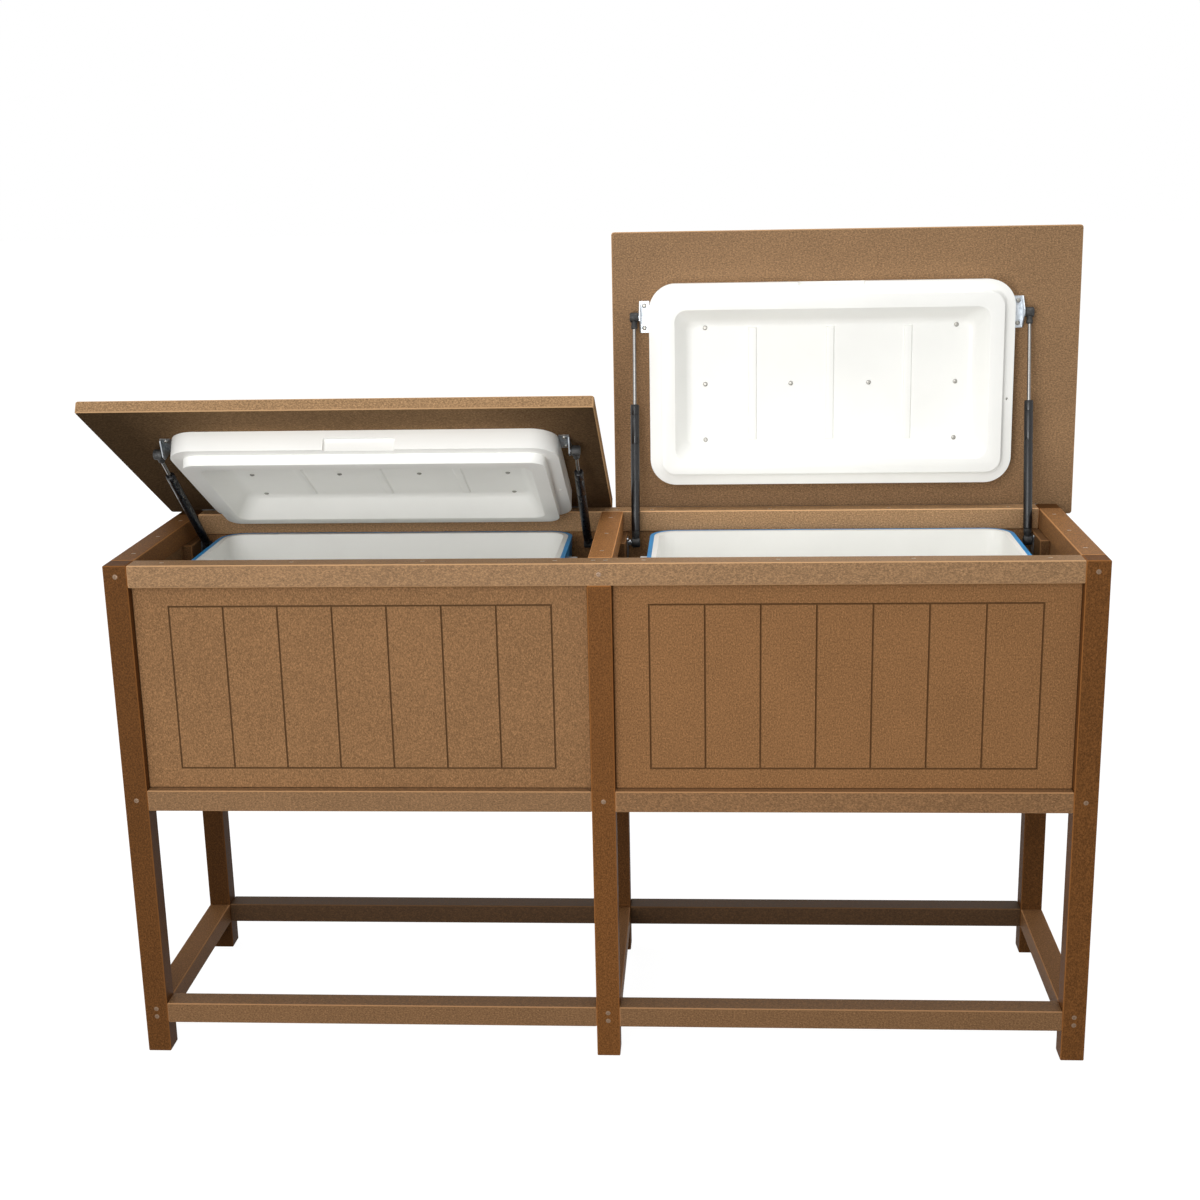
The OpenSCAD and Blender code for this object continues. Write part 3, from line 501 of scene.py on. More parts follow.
def lumber(name, colour, settings, along, seed, tone, gloss, turn, grooved, below):
    """Speckled recycled plastic: flecks, soft clouds along the board, a fine skin and lighter arrises, a
    painted highlight with some wear.

    The flecks are a little longer along the board than across it.
    The tone says how much lighter and how much warmer a board is than the others: partly a random
    difference between boards, partly painted shade and painted sheen.
    On a grooved panel the faces that lean are the walls of the grooves, so they get painted shade
    instead.
    The amount below darkens the underside of a lid with painted shade.
    """
    finish = Finish(name)
    # The tone is partly a random board difference, partly painted shade and painted sheen
    shade, warmth = tone
    colour = warmer(lighter(colour, shade), warmth)
    stretch = [1.0, 1.0, 1.0]
    stretch[LENGTH_AXES[along]] = 0.7
    grain = finish.place(turn, stretch, tuple(step * seed for step in PATTERN_STEP))
    per_metre = 1 / settings.fleck
    fine_scale, cloud_scale, speck_scale = per_metre * 2.2, per_metre * 0.03, per_metre * 0.42
    flecks = finish.noise(grain, per_metre, detail=3.0, roughness=0.7)
    fine = finish.noise(grain, fine_scale, detail=2.0, roughness=0.65)
    clouds = finish.noise(grain, cloud_scale, detail=3.0, roughness=0.55)
    specks = finish.cells(grain, speck_scale)
    contrast = settings.contrast
    base = finish.blend(finish.span(clouds, 0.3, 0.7), lighter(colour, -0.07), lighter(colour, 0.07))
    base = finish.blend(finish.span(flecks, 0.50, 0.72), base, lighter(colour, 2.0 * contrast))
    base = finish.blend(finish.span(flecks, 0.50, 0.30), base, lighter(colour, -1.1 * contrast))
    base = finish.blend(finish.span(fine, 0.52, 0.74), base, lighter(colour, 1.5 * contrast))
    dot = finish.math("MULTIPLY", finish.span(specks, 0.14, 0.08), 0.6)
    base = finish.blend(dot, base, lighter(colour, 3.0 * contrast))
    leaning = finish.arris(turn)
    # Painted highlight on the eased edges, partly wear; on grooved panels painted shade in the grooves
    # instead
    edge_light_and_wear, edge = (0.85, lighter(colour, -0.52)) if grooved else (settings.arris, lighter(colour, 1.1))
    base = finish.blend(finish.math("MULTIPLY", leaning, edge_light_and_wear), base, edge)
    # Painted shade: the underside of the half open lid is darkened nearly to black, less between the ends
    # of the chest lid
    if below:
        middle, length, _ = chest_span("left")
        under = finish.underside(turn, middle, length / 2)
        base = finish.blend(finish.math("MULTIPLY", under, below), base, lighter(colour, -0.96))
    roughness = finish.span(flecks, 0.3, 0.7, to_low=0.48, to_high=0.66)
    height = finish.math("ADD", flecks, finish.math("MULTIPLY", fine, 0.5))
    finish.bump(height, strength=0.35, distance=0.0007)
    return finish.paint(base, roughness, gloss=gloss)


def white_plastic(name, settings, turn=0.0, shade=0.0):
    """Satin white moulded plastic with a faint orange peel and slight clouding."""
    finish = Finish(name)
    spots = finish.place(turn)
    clouds = finish.noise(spots, scale=9, detail=3.0)
    peel = finish.noise(spots, scale=420)
    white = lighter(settings.white, shade)
    colour = finish.blend(finish.span(clouds, 0.35, 0.7), white, lighter(white, -0.035))
    finish.bump(peel, strength=0.10, distance=0.0004)
    return finish.paint(colour, finish.span(peel, 0.2, 0.8, to_low=0.30, to_high=0.42))


def blue_plastic(name, settings):
    """Blue moulded plastic with a fine pebbled skin."""
    finish = Finish(name)
    spots = finish.place()
    pebbles = finish.cells(spots, scale=520)
    clouds = finish.noise(spots, scale=14)
    dark, light = lighter(settings.blue, -0.08), lighter(settings.blue, 0.14)
    colour = finish.blend(finish.span(clouds, 0.3, 0.7), dark, light)
    finish.bump(pebbles, strength=0.16, distance=0.0005)
    return finish.paint(colour, finish.span(clouds, 0.3, 0.7, to_low=0.34, to_high=0.44))


def zinc_plate(name):
    """Bright zinc with a soft spangle and fine brushing."""
    finish = Finish(name)
    dark, light = (0.32, 0.35, 0.38), (0.54, 0.57, 0.60)
    spangle = finish.cells(finish.place(), scale=190, output="Color")
    tone = finish.node("RGBToBW", {0: spangle})
    brushed = finish.noise(finish.place(stretch=(1, 0.08, 1)), scale=1500, roughness=0.6)
    colour = finish.blend(tone.outputs[0], dark, light)
    finish.bump(brushed, strength=0.08)
    return finish.paint(colour, finish.span(brushed, 0.2, 0.8, to_low=0.24, to_high=0.40), metallic=1.0)


def dull_zinc(name):
    """Zinc that has weathered to a dull grey with pale bloom."""
    finish = Finish(name)
    grey, pale = (0.16, 0.16, 0.16), (0.34, 0.34, 0.33)
    bloom = finish.noise(finish.place(), scale=130, detail=4.0, roughness=0.65)
    fine = finish.noise(finish.place(stretch=(0.2, 1, 1)), scale=1300, roughness=0.6)
    colour = finish.blend(finish.span(bloom, 0.40, 0.68), grey, pale)
    finish.bump(fine, strength=0.12)
    return finish.paint(colour, finish.span(bloom, 0.3, 0.7, to_low=0.46, to_high=0.68), metallic=0.85)


def screw_steel(name, colour):
    """Coated screws with darker spots where the coat has worn."""
    finish = Finish(name)
    spots = finish.noise(finish.place(), scale=900, detail=3.0, roughness=0.6)
    colour = finish.blend(finish.span(spots, 0.38, 0.68), colour, lighter(colour, -0.45))
    finish.bump(spots, strength=0.12)
    return finish.paint(colour, finish.span(spots, 0.3, 0.7, to_low=0.34, to_high=0.50), metallic=0.4)


def lid_screw_steel(name):
    """Stainless screws with a satin skin and faint stains."""
    finish = Finish(name)
    clean, stained = (0.42, 0.41, 0.38), (0.26, 0.25, 0.22)
    spots = finish.noise(finish.place(), scale=700, detail=3.0, roughness=0.6)
    colour = finish.blend(finish.span(spots, 0.4, 0.7), clean, stained)
    finish.bump(spots, strength=0.12)
    return finish.paint(colour, finish.span(spots, 0.3, 0.7, to_low=0.28, to_high=0.44), metallic=1.0)


def black_tube(name):
    """Black gloss paint on the strut tubes, with faint scuffs."""
    finish = Finish(name)
    black, scuffed = (0.006, 0.006, 0.007), (0.020, 0.020, 0.022)
    scuffs = finish.noise(finish.place(stretch=(1, 1, 0.12)), scale=300, detail=3.0, roughness=0.65)
    colour = finish.blend(finish.span(scuffs, 0.60, 0.80), black, scuffed)
    finish.bump(scuffs, strength=0.05)
    return finish.paint(colour, finish.span(scuffs, 0.3, 0.8, to_low=0.22, to_high=0.44))


def black_nylon(name):
    """Matt black nylon with a fine grain."""
    finish = Finish(name)
    black, dusty = (0.018, 0.018, 0.018), (0.075, 0.075, 0.072)
    grain = finish.noise(finish.place(), scale=1400, roughness=0.6)
    dust = finish.noise(finish.place(), scale=160, detail=3.0, roughness=0.6)
    colour = finish.blend(finish.span(dust, 0.5, 0.75), black, dusty)
    finish.bump(grain, strength=0.2, distance=0.0003)
    return finish.paint(colour, finish.span(grain, 0.3, 0.7, to_low=0.46, to_high=0.62))


def polished_rod(name):
    """Hard chrome rod with fine rings from grinding."""
    finish = Finish(name)
    bright, ground = (0.30, 0.29, 0.28), (0.22, 0.21, 0.20)
    rings = finish.noise(finish.place(stretch=(0.05, 0.05, 1)), scale=2200, roughness=0.6)
    colour = finish.blend(finish.span(rings, 0.4, 0.7), bright, ground)
    finish.bump(rings, strength=0.05, distance=0.0001)
    return finish.paint(colour, finish.span(rings, 0.3, 0.7, to_low=0.12, to_high=0.22), metallic=1.0)


def foam(name):
    """Pale rigid foam with small cells."""
    finish = Finish(name)
    deep, pale = (0.72, 0.66, 0.42), (0.86, 0.80, 0.58)
    cells = finish.cells(finish.place(), scale=700)
    colour = finish.blend(finish.span(cells, 0.1, 0.6), deep, pale)
    finish.bump(cells, strength=0.3, distance=0.0008)
    return finish.paint(colour, roughness=0.85)


# Operators

def kept_material(name, make, *settings, **values):
    """The material of that name, made the first time that it is asked for."""
    return bpy.data.materials.get(name) or make(name, *settings, **values)


class ICECHEST_OT_lumber(bpy.types.Operator):
    """Gives every board, leg and panel its speckled plastic"""
    bl_idname = "ice_chest.lumber"
    bl_label = "Lumber"

    def execute(self, context):
        settings = context.scene.lumber
        boards = {
            "x": ["top_rail_front", "top_rail_rear", "lower_rail_front_left", "lower_rail_front_right",
                  "lower_rails_rear", "stretchers_front", "stretchers_rear", "floor_cleats"],
            "y": ["top_rail_left", "top_rail_centre", "top_rail_right", "lower_rails_cross",
                  "stretchers_cross", "floor_slats_left", "floor_slats_right", "strut_blocks"],
            "z": ["panel_front_left", "panel_front_right", "panel_rear_left", "panel_rear_right",
                  "panel_left", "panel_right", "panel_centre"],
        }
        count = 0
        for along, nodes in boards.items():
            for node in nodes:
                count += 1
                gloss = LONG_GLOSS if along == "x" else CROSS_GLOSS
                grooved = node.startswith("panel")
                self.dress(node, settings.face, settings, along, count, gloss, grooved=grooved)
        for row in ("front", "rear"):
            for column in ("left", "centre", "right"):
                count += 1
                node = "leg_" + row + "_" + column
                self.dress(node, settings.leg, settings, "z", count, CROSS_GLOSS)
        for side in SIDES:
            count += 1
            turn = hinge_of(side)[1]
            gloss, below = (SHADED_GLOSS, LID_SHADE) if side == "left" else (LONG_GLOSS, 0.0)
            self.dress("lid_board_" + side, settings.face, settings, "x", count, gloss, turn, below=below)
        return {"FINISHED"}

    def dress(self, node, colour, settings, along, seed, gloss, turn=0.0, grooved=False, below=0.0):
        tone = BOARD_TONES_AND_SHADES.get(node, COMMON_TONE)
        coat(frame["nodes"][node],
             lumber("lumber " + node, colour, settings, along, seed, tone, gloss, turn, grooved, below))


class ICECHEST_OT_chests(bpy.types.Operator):
    """Gives the chests, their handles and drains, and the hinges their finishes"""
    bl_idname = "ice_chest.chests"
    bl_label = "Chests and hinges"

    def execute(self, context):
        settings = context.scene.moulding
        white = kept_material("white plastic", white_plastic, settings)
        # The liner is the white plastic painted 4 % lighter, painted light on its shaded inside
        liner = kept_material("liner plastic", white_plastic, settings, shade=0.04)
        blue = kept_material("blue plastic", blue_plastic, settings)
        zinc = kept_material("zinc plate", zinc_plate)
        dull = kept_material("dull zinc", dull_zinc)
        filling = kept_material("foam", foam)
        dressed = {
            "chest_shell_left": blue, "chest_shell_right": blue,
            "chest_liner_left": liner, "chest_liner_right": liner,
            "carry_handles": white, "drain_plugs": white,
            "chest_foam_left": filling, "chest_foam_right": filling,
            "hinge_frame_leaves": dull, "hinge_pins": dull,
            "hinge_lid_leaf_left": dull, "hinge_lid_leaf_right": dull,
            "strut_plates": zinc, "lid_brackets_left": zinc, "lid_brackets_right": zinc,
        }
        for node, material in dressed.items():
            coat(frame["nodes"][node], material)
        return {"FINISHED"}


class ICECHEST_OT_chest_lids(bpy.types.Operator):
    """Models the white chest lids under the boards"""
    bl_idname = "ice_chest.chest_lids"
    bl_label = "Chest lids"

    def execute(self, context):
        settings = context.scene.moulding
        _, length, depth = chest_span("left")
        lid = block("chest_lid", (-length / 2, -depth / 2, -SKIRT), (length / 2, depth / 2, 0))
        pick(lid, "EDGE", lambda edge: self.upright(lid, edge))
        bpy.ops.mesh.bevel(offset=settings.corner, segments=14, profile=0.5, affect="EDGES")
        pick(lid, "FACE", lambda face: face.normal.z < -LEVEL)
        bpy.ops.mesh.inset(thickness=PLUG_IN)
        bpy.ops.mesh.extrude_region_move(TRANSFORM_OT_translate={"value": (0, 0, -PLUG)})
        mouth = Vector((length / 2 - PLUG_IN - RIDGE, depth / 2 - PLUG_IN - RIDGE, SKIRT + PLUG))
        cut(lid, self.dish(mouth, settings.dish_corner))
        self.raise_ribs(lid)
        modify(lid, "BEVEL", width=settings.skirt_edge, segments=4, limit_method="ANGLE",
               angle_limit=math.radians(32), use_clamp_overlap=True)
        self.cut_grip(lid, depth)
        self.cut_cord_hole(lid, length, depth)
        soften(lid, angle=40)
        other = copy_of(lid, "chest_lid_moulding_right")
        lid.name = "chest_lid_moulding_left"
        for side, piece in zip(SIDES, (lid, other)):
            turn = hinge_of(side)[1]
            middle = Vector((chest_span(side)[0], MIDDLE_Y, UNDERSIDE))
            place(piece, shut_to_rest(side) @ Matrix.Translation(middle))
            material = white_plastic("white plastic lid " + side, settings, turn)
            finish_piece(piece, "lid_" + side, "white", material, "chest_lid_" + side)
        return {"FINISHED"}

    def dish(self, mouth, corner):
        """The hollow of the dish, from past its mouth to its floor, with round corners."""
        past = 2 * MM
        spread = DISH_SLOPE * past / (mouth.z - DISH_ROOF)
        low = Vector((-mouth.x - spread, -mouth.y - spread, -mouth.z - past))
        hollow = block("dish", low, (-low.x, -low.y, -DISH_ROOF))
        pick(hollow, "FACE", lambda face: face.normal.z > LEVEL)
        floor = Vector((mouth.x - DISH_SLOPE, mouth.y - DISH_SLOPE, 0))
        bpy.ops.transform.resize(value=(floor.x / -low.x, floor.y / -low.y, 1),
                                 center_override=(0, 0, -DISH_ROOF))
        pick(hollow, "EDGE", lambda edge: self.rises(hollow, edge))
        bpy.ops.mesh.bevel(offset=corner, segments=7, profile=0.5, affect="EDGES")
        pick(hollow, "FACE", lambda face: face.normal.z > LEVEL)
        bpy.ops.mesh.region_to_loop()
        bpy.ops.mesh.bevel(offset=corner / 2, segments=5, profile=0.5, affect="EDGES")
        bpy.ops.object.mode_set(mode="OBJECT")
        return hollow

    def ends(self, piece, edge):
        """Places of the two ends of an edge."""
        return [piece.data.vertices[i].co for i in edge.vertices]

    def rises(self, piece, edge):
        """Whether an edge goes up, straight or leaning."""
        a, b = self.ends(piece, edge)
        return abs(a.z - b.z) > 1 * MM

    def upright(self, piece, edge):
        """Whether an edge goes straight up."""
        a, b = self.ends(piece, edge)
        return (a - b).xy.length < 0.01 * MM

    def raise_ribs(self, lid):
        """Shallow ribs from front to back across the floor of the dish."""
        step, slope = 0.4 * MM, 2 * MM
        for i in (-1, 0, 1):
            for edge in (-1, 1):
                pick(lid, "FACE", lambda face: self.on_floor(lid, face))
                side = i * RIB_PITCH + edge * RIB_WIDTH / 2
                bpy.ops.mesh.bisect(plane_co=(side, 0, 0), plane_no=(1, 0, 0))
        for i in (-1, 0, 1):
            pick(lid, "FACE", lambda face: self.on_floor(lid, face)
                 and abs(self.middle(lid, face).x - i * RIB_PITCH) < RIB_WIDTH * 0.4)
            bpy.ops.mesh.inset(thickness=step)
            bpy.ops.mesh.inset(thickness=slope, depth=RIB_HEIGHT)
        bpy.ops.object.mode_set(mode="OBJECT")

    def middle(self, piece, face):
        """The average place of the corners of a face."""
        total = Vector()
        for i in face.vertices:
            total += piece.data.vertices[i].co
        return total / len(face.vertices)

    def on_floor(self, lid, face):
        """Whether a face lies on the floor of the dish."""
        return face.normal.z < -LEVEL and abs(self.middle(lid, face).z + DISH_ROOF) < 0.1 * MM

    def cut_grip(self, lid, depth):
        """The finger grip at the foot of the skirt, in the middle of the front."""
        cutter = block("grip", (-GRIP_WIDTH / 2, -depth / 2 - GRIP_DEPTH, -SKIRT - GRIP_HEIGHT),
                       (GRIP_WIDTH / 2, -depth / 2 + GRIP_DEPTH, -SKIRT + GRIP_HEIGHT))
        modify(cutter, "BEVEL", width=4 * MM, segments=4)
        cut(lid, cutter)

    def cut_cord_hole(self, lid, length, depth):
        """The hole for a lid cord, in the foot of the skirt between its edge and the plug."""
        past = 2 * MM
        cutter = turned("hole", [(CORD_HOLE_RADIUS, -SKIRT - past),
                                 (CORD_HOLE_RADIUS, -SKIRT + CORD_HOLE_DEPTH)], segments=24)
        place(cutter, Matrix.Translation((length / 2 - PLUG_IN / 2, depth / 12, 0)))
        cut(lid, cutter)


class ICECHEST_OT_struts(bpy.types.Operator):
    """Models the gas struts with their sockets and balls"""
    bl_idname = "ice_chest.struts"
    bl_label = "Gas struts"

    def execute(self, context):
        settings = context.scene.struts
        paint = kept_material("black tube", black_tube)
        nylon = kept_material("black nylon", black_nylon)
        chrome = kept_material("polished rod", polished_rod)
        zinc = kept_material("zinc plate", zinc_plate)
        for side in SIDES:
            for end in ENDS:
                tag = side + "_" + end
                self.strut(tag, settings, paint, nylon, chrome, zinc)
        return {"FINISHED"}

    def strut(self, tag, settings, paint, nylon, chrome, zinc):
        """A tube and a rod, each with its socket, and the ball stud at the foot of the tube."""
        upper = Vector(JOINTS["rod_" + tag + "_hinge"]["pos_m"])
        down = Vector(JOINTS["tube_" + tag + "_slide"]["axis"])
        low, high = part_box("strut_tube_" + tag)
        length = (upper.z - low.z - settings.socket_radius) / -down.z
        lower = upper + down * length
        radius, rod = settings.tube_radius, settings.rod_radius
        lower_neck, upper_neck = radius * 0.93, radius * 0.73
        tube_body, rod_body = "tube_" + tag, "rod_" + tag
        up = aimed(lower, -down)
        from_top = aimed(upper, down)
        tube = soften(turned("tube", self.tube_outline(radius, rod), segments=40))
        self.keep(tube, "strut_barrel_" + tag, up, tube_body, "tube", paint, "strut_tube_" + tag)
        socket = self.socket(settings.socket_radius, lower_neck)
        self.keep(socket, "strut_lower_socket_" + tag, up, tube_body, "tube", nylon)
        shaft = soften(turned("shaft", self.shaft_outline(radius, rod)))
        self.keep(shaft, "strut_shaft_" + tag, from_top, rod_body, "rod", chrome, "strut_rod_" + tag)
        top = self.socket(settings.socket_radius, upper_neck)
        self.keep(top, "strut_upper_socket_" + tag, from_top, rod_body, "rod", nylon)
        stud = self.stud(max(high.x - lower.x, lower.x - low.x))
        way = 1 if high.x - lower.x > lower.x - low.x else -1
        self.keep(stud, "strut_ball_stud_" + tag, aimed(lower, (way, 0, 0)), tube_body, "zinc", zinc)

    def keep(self, piece, name, spot, body, slot, material, *nodes):
        """Places and names a part of a strut, and gives it its finish and body."""
        place(piece, spot)
        piece.name = name
        finish_piece(piece, body, slot, material, *nodes)

    def tube_outline(self, radius, rod):
        """Radius and height along a tube: its foot, its two crimps and its mouth round the rod."""
        foot, crimp = 1 * MM, 0.45 * MM
        outline = [(radius * 0.8, SOCKET_NECK - foot), (radius - foot, SOCKET_NECK),
                   (radius, SOCKET_NECK + foot)]
        for below in CRIMPS_FROM_MOUTH:
            height = TUBE_LENGTH - below
            outline += [(radius, height - 1 * MM), (radius - crimp, height), (radius, height + 1 * MM)]
        lip, ease, gap, well = 1.6 * MM, 0.5 * MM, 0.4 * MM, 3 * MM
        outline += [(radius, TUBE_LENGTH - lip), (radius - ease, TUBE_LENGTH - 0.6 * MM),
                    (radius - lip, TUBE_LENGTH), (rod + gap, TUBE_LENGTH),
                    (rod + 0.3 * MM, TUBE_LENGTH - well)]
        return outline

    def shaft_outline(self, radius, rod):
        """Radius and height along a rod, from inside its socket to the far side of its piston."""
        piston = radius - TUBE_WALL - 0.3 * MM
        return [(rod, SOCKET_NECK - 4 * MM), (rod, ROD_LENGTH), (piston, ROD_LENGTH + 0.2 * MM),
                (piston, ROD_LENGTH + PISTON)]

    def socket(self, radius, neck):
        """A nylon ball socket: a tapered neck with a rib and a round head across it."""
        half = SOCKET_WIDTH / 2
        slope = [(radius * 0.72, half), (radius * 0.93, half - 0.8 * MM), (radius, half - 2.2 * MM)]
        head = turned("head", [(r, -x) for r, x in slope] + slope[::-1])
        place(head, Matrix.Rotation(math.radians(90), 4, "Y"))
        waist, rib = neck * 0.92, SOCKET_NECK - 6 * MM
        body = turned("neck", [
            (neck * 0.8, 2 * MM), (waist, 4 * MM), (waist, rib - 1 * MM),
            (neck, rib), (neck, SOCKET_NECK - 1.5 * MM), (neck - 1 * MM, SOCKET_NECK)])
        return soften(joined("socket", [head, body]))

    def stud(self, reach):
        """A ball with its stud and, where there is room, a six-sided collar, along +Z."""
        lowest, highest, step = -80, 40, 10
        rise = [math.radians(a) for a in range(lowest, highest + step, step)]
        ball = [(BALL_RADIUS * math.cos(a), BALL_RADIUS * math.sin(a)) for a in rise]
        shank = [(STUD_RADIUS, BALL_RADIUS * 0.84), (STUD_RADIUS, reach - 0.1 * MM)]
        pieces = [turned("stud", ball + shank, segments=24)]
        room, collar, chamfer, foot, top = 9 * MM, 5 * MM, 0.4 * MM, 8.2 * MM, 11.8 * MM
        if reach > room:
            pieces.append(turned("collar", [
                (collar - chamfer, foot), (collar, foot + chamfer),
                (collar, top - chamfer), (collar - chamfer, top)], segments=6))
        return soften(joined("stud", pieces))


class ICECHEST_OT_screws(bpy.types.Operator):
    """Models the screws in the frame and in the chest lids"""
    bl_idname = "ice_chest.screws"
    bl_label = "Screws"

    def execute(self, context):
        radius = context.scene.screws.head_radius
        flush = self.head(radius, rise=0.15 * MM, depth=1.6 * MM)
        # Lit and shaded copies of one coated screw: the heads that face up are painted pale, a painted
        # highlight, and the others darker brown, painted shade
        pale, brown = (0.66, 0.55, 0.43), (0.26, 0.165, 0.10)
        kinds = (("rail_top_screw_heads", True, pale), ("frame_screw_heads", False, brown))
        for name, on_top, colour in kinds:
            heads = [self.set_screw(flush, spot, way) for spot, way in self.frame_spots()
                     if (way == (0, 0, 1)) == on_top]
            steel = screw_steel(name.replace("_", " "), colour)
            finish_piece(soften(joined(name, heads)), "frame", "screw", steel, "frame_screws")
        bright = kept_material("lid screw steel", lid_screw_steel)
        heads = [self.set_screw(flush, spot, way) for spot, way in self.plate_spots()]
        bpy.data.objects.remove(flush)
        finish_piece(soften(joined("plate_screw_heads", heads)), "frame", "screw", bright)
        domed = self.head(radius, rise=1.9 * MM, depth=0.4 * MM)
        for side in SIDES:
            heads = [self.set_screw(domed, spot, (0, 0, -1)) for spot in self.lid_spots(side)]
            piece = place(soften(joined("lid_screw_heads_" + side, heads)), shut_to_rest(side))
            finish_piece(piece, "lid_" + side, "screw", bright, "lid_screws_" + side)
        bpy.data.objects.remove(domed)
        return {"FINISHED"}

    def head(self, radius, rise, depth):
        """A screw head about Z with a cross recess, its rim at height 0."""
        head = turned("screw", [
            (radius * 0.55, -depth), (radius * 0.97, -0.1 * MM), (radius, 0),
            (radius * 0.93, rise * 0.55), (radius * 0.7, rise * 0.9), (radius * 0.3, rise)], segments=20)
        arm, slot = radius * 0.58, radius * 0.13
        for a, b in ((arm, slot), (slot, arm)):
            cut(head, block("recess", (-a, -b, rise - 1.1 * MM), (a, b, rise + 1 * MM)))
        return head

    def set_screw(self, head, spot, way):
        """A copy of a screw head at a place, facing a way."""
        return place(copy_of(head, "screw"), aimed(spot, way))

    def lid_spots(self, side):
        """Places of the screws on a shut chest lid and on the feet of the brackets beside it."""
        middle = Vector((chest_span(side)[0], MIDDLE_Y, UNDERSIDE - DISH_ROOF))
        outer_x, outer_y, inner_x = 215, 97, 67
        spots = [middle + Vector((x * outer_x, y * outer_y, 0)) * MM for x in (-1, 1) for y in (-1, 0, 1)]
        spots += [middle + Vector((x * inner_x, 0, 0)) * MM for x in (-1, 1)]
        foot_x, foot_y = 17 * MM, 19 * MM
        for end in ENDS:
            ball = Vector(JOINTS["rod_" + side + "_" + end + "_hinge"]["pos_m"])
            ball = shut_to_rest(side).inverted() @ ball
            towards = 1 if middle.x > ball.x else -1
            for y in (-foot_y, foot_y):
                spots.append(Vector((ball.x + towards * foot_x, ball.y + y, UNDERSIDE - STEEL)))
        return spots

    def plate_spots(self):
        """Places of the screws in the plates under the struts."""
        low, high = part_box("strut_plates")
        sink, ball_drop = 0.6 * MM, 50 * MM
        spots = []
        for x, way in ((low.x, 1), (high.x, -1), (self.inner_plate(), 1), (-self.inner_plate(), -1)):
            face = x + way * STEEL if abs(x) > END / 2 else x
            for drop in (14 * MM, 34 * MM):
                spot = Vector((face - way * sink, (low.y + high.y) / 2, HEIGHT - ball_drop - drop))
                spots.append((spot, (way, 0, 0)))
        return spots

    def inner_plate(self):
        """Distance of the face of an inner plate from the middle of the frame."""
        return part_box("panel_centre")[1].x + BLOCK + STEEL

    def frame_spots(self):
        """Places of the screws in the frame, and the way that each faces."""
        sink = 0.6 * MM
        columns = (-END + LEG / 2, 0, END - LEG / 2)
        rails = [(box[0].z + box[1].z) / 2 for box in (TOP_RAIL, LOW_RAIL)]
        stretcher = (STRETCHER[0].z + STRETCHER[1].z) / 2
        gap = (STRETCHER[1].z - STRETCHER[0].z) / 5
        pair = (TOP_RAIL[1].z - TOP_RAIL[0].z) / 4
        bay_in, bay_out = LEG / 2, END - LEG
        line = (LEG / 2 + (PANEL[0].y + PANEL[1].y) / 2 - FRONT) / 2
        end, cross_pitch = 50 * MM, 127 * MM
        spots = []
        for x in columns:
            for z in rails + [stretcher - gap, stretcher + gap]:
                spots.append((Vector((x, FRONT + sink, z)), (0, -1, 0)))
                spots.append((Vector((x, BACK - sink, z)), (0, 1, 0)))
        heights = [z + way * pair for z in rails for way in (-1, 1)] + [stretcher]
        for way in (-1, 1):
            for y in (FRONT + LEG / 2, BACK - LEG / 2):
                for z in heights:
                    spots.append((Vector((way * (END - sink), y, z)), (way, 0, 0)))
            for y in (FRONT + line, BACK - line):
                for i in range(4):
                    x = way * (bay_in + end + i * (bay_out - bay_in - 2 * end) / 3)
                    spots.append((Vector((x, y, HEIGHT - sink)), (0, 0, 1)))
                spots.append((Vector((way * LEG / 4, y, HEIGHT - sink)), (0, 0, 1)))
        for x in (-END + line, 0, END - line):
            for i in (-1, 0, 1):
                spots.append((Vector((x, MIDDLE_Y + i * cross_pitch, HEIGHT - sink)), (0, 0, 1)))
        return spots


# Each lamp's place, the point that it looks at, its size and its share of the key power
LAMPS = {
    "key": ((-0.9, -3.3, 1.8), (0, 0, 0.8), 3.0, 1.0),
    "fill": ((-0.6, -3.2, 0.55), (0, 0, 0.9), 0.9, 0.45),
    "top": ((0.2, 0.0, 4.0), (0, 0, 0.8), 2.4, 0.6),
}


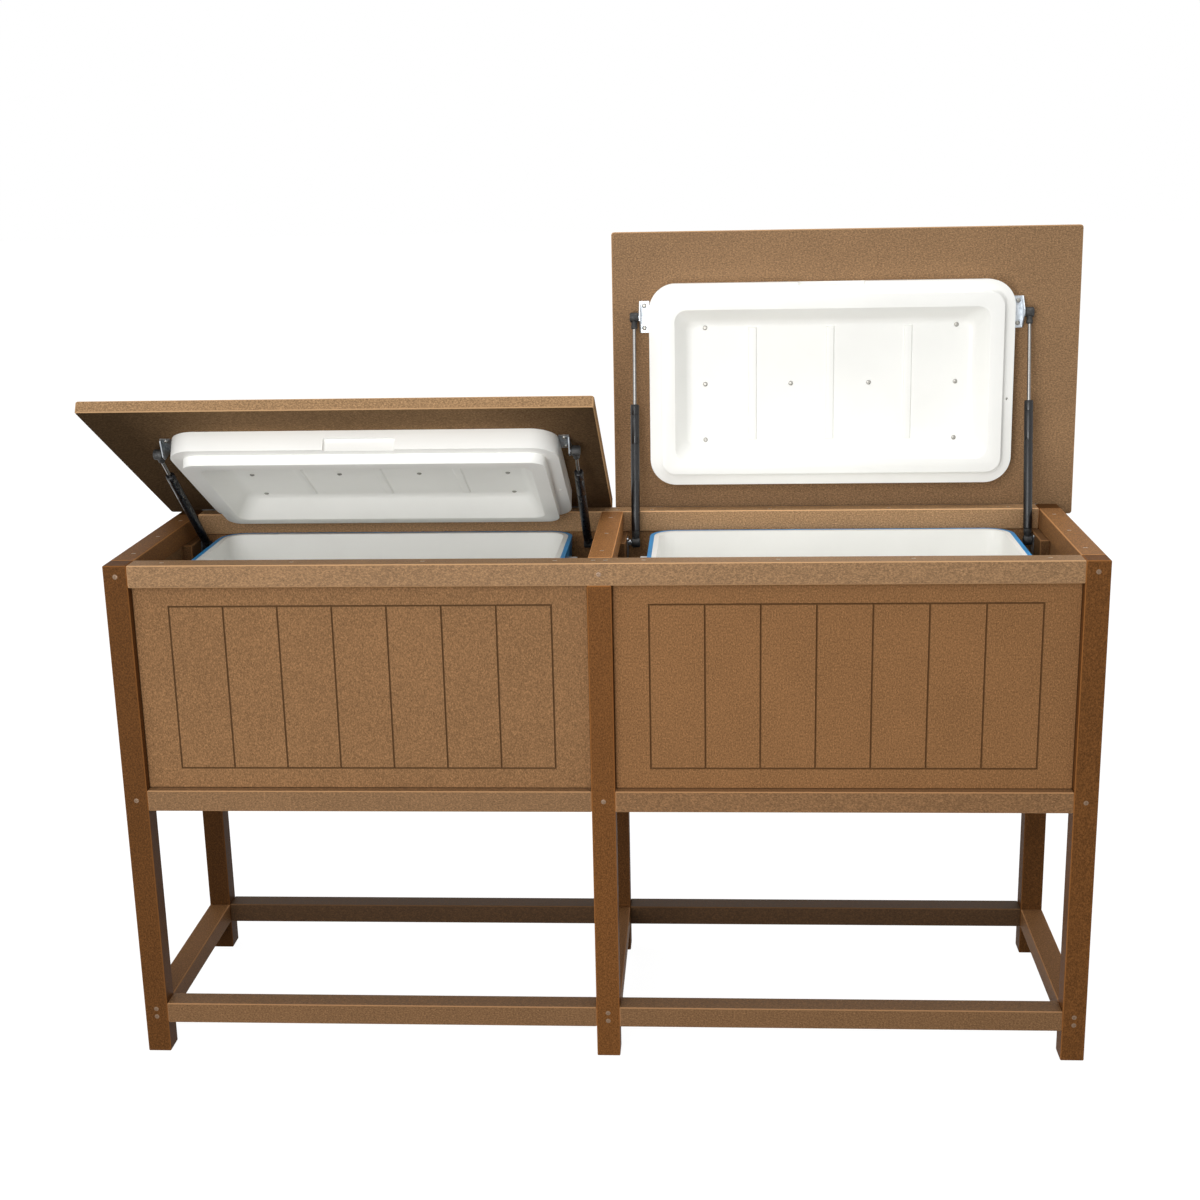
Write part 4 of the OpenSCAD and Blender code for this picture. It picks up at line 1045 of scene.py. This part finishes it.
class ICECHEST_OT_stage(bpy.types.Operator):
    """Adds the floor, the lights and the camera"""
    bl_idname = "ice_chest.stage"
    bl_label = "Stage"

    def execute(self, context):
        settings = context.scene.stage
        self.floor()
        self.world(context, settings)
        for name, (spot, target, size, share) in LAMPS.items():
            self.lamp(name, spot, target, size, settings.key_power * share)
        self.camera(context, settings)
        context.scene.view_settings.view_transform = "Standard"
        return {"FINISHED"}

    def floor(self):
        """A pale floor that looks nearly white, and throws little light up at the object."""
        deselect()
        size, drop = 60, 0.5 * MM
        bpy.ops.mesh.primitive_plane_add(size=size, location=(0, 0, -drop))
        floor = newest("floor")
        finish = Finish("pale floor")
        dark, grey, pale = ((level, level, level) for level in (0.16, 0.80, 0.83))
        grain = finish.noise(finish.place(), scale=6)
        colour = finish.blend(finish.span(grain, 0.3, 0.7), grey, pale)
        seen = finish.seen()
        material = finish.paint(finish.blend(seen, dark, colour), roughness=0.9, gloss=0.0)
        glow_strength, glow_share = 1.19, 0.80
        glow = finish.node("Emission", {"Strength": glow_strength})
        share = finish.math("MULTIPLY", seen, glow_share)
        mix = finish.node("MixShader", {0: share, 1: finish.shader.outputs[0], 2: glow.outputs[0]})
        finish.feed(finish.tree.nodes["Material Output"], {0: mix.outputs[0]})
        coat(floor, material)

    def world(self, context, settings):
        """Even light from all round, in a room that looks white to the camera."""
        world = bpy.data.worlds.new("white room")
        context.scene.world = world
        world.use_nodes = True
        nodes = Nodes(world.node_tree)
        strength = nodes.span(nodes.seen(), 0.0, 1.0, settings.sky, 1.0)
        nodes.feed(nodes.tree.nodes["Background"], {"Color": (1, 1, 1), "Strength": strength})

    def lamp(self, name, spot, target, size, power):
        """A round soft lamp at a place, turned to a point."""
        data = bpy.data.lights.new(name, "AREA")
        data.energy = power
        data.shape = "DISK"
        data.size = size
        lamp = bpy.data.objects.new(name, data)
        lamp.matrix_world = aimed(spot, Vector(spot) - Vector(target))
        bpy.context.scene.collection.objects.link(lamp)

    def camera(self, context, settings):
        """A camera in front of the frame, right of its middle and well above it, looking down."""
        data = bpy.data.cameras.new("camera")
        data.lens = settings.lens
        data.sensor_width = 36
        data.shift_x = -0.0091
        data.shift_y = 0.0100
        data.clip_end = 200
        yaw, pitch, roll = (math.radians(angle) for angle in (3.50, 14.96, -1.14))
        from_left_end, from_front, height = 0.9509, 2.5668, 1.4487
        level = math.cos(pitch)
        ahead = Vector((-math.sin(yaw) * level, math.cos(yaw) * level, -math.sin(pitch)))
        across = Vector((math.cos(yaw), math.sin(yaw), 0))
        upward = across.cross(ahead)
        right = math.cos(roll) * across + math.sin(roll) * upward
        up = -math.sin(roll) * across + math.cos(roll) * upward
        turn = Matrix((right, up, -ahead)).transposed().to_4x4()
        spot = Vector((-END + from_left_end, FRONT - from_front, height))
        camera = bpy.data.objects.new("camera", data)
        camera.matrix_world = Matrix.Translation(spot) @ turn
        context.scene.collection.objects.link(camera)
        context.scene.camera = camera


class ICECHEST_PT_panel(bpy.types.Panel):
    """Lists the steps that dress the ice chest"""
    bl_label = "Ice chest"
    bl_idname = "ICECHEST_PT_panel"
    bl_space_type = "VIEW_3D"
    bl_region_type = "UI"
    bl_category = "Ice chest"

    def draw(self, context):
        """Shows the buttons of each step and the values below them."""
        for group, operators in STEPS.items():
            box = self.layout.box()
            for operator in operators:
                box.operator(operator.bl_idname)
            settings = getattr(context.scene, group)
            for key in settings.bl_rna.properties.keys():
                if key not in ("rna_type", "name"):
                    box.prop(settings, key)


STEPS = {
    "lumber": [ICECHEST_OT_lumber],
    "moulding": [ICECHEST_OT_chests, ICECHEST_OT_chest_lids],
    "struts": [ICECHEST_OT_struts],
    "screws": [ICECHEST_OT_screws],
    "stage": [ICECHEST_OT_stage],
}
GROUPS = {
    "lumber": LumberSettings,
    "moulding": MouldingSettings,
    "struts": StrutSettings,
    "screws": ScrewSettings,
    "stage": StageSettings,
}
CLASSES = [*GROUPS.values(), *(step for steps in STEPS.values() for step in steps), ICECHEST_PT_panel]


def register():
    for cls in CLASSES:
        bpy.utils.register_class(cls)
    for name, group in GROUPS.items():
        setattr(bpy.types.Scene, name, bpy.props.PointerProperty(type=group))


def unregister():
    for name in GROUPS:
        delattr(bpy.types.Scene, name)
    for cls in reversed(CLASSES):
        bpy.utils.unregister_class(cls)


def main():
    """Dresses the chest step by step."""
    register()
    for steps in STEPS.values():
        for step in steps:
            category, name = step.bl_idname.split(".")
            getattr(getattr(bpy.ops, category), name)()
    deselect()


if __name__ == "__main__":
    main()
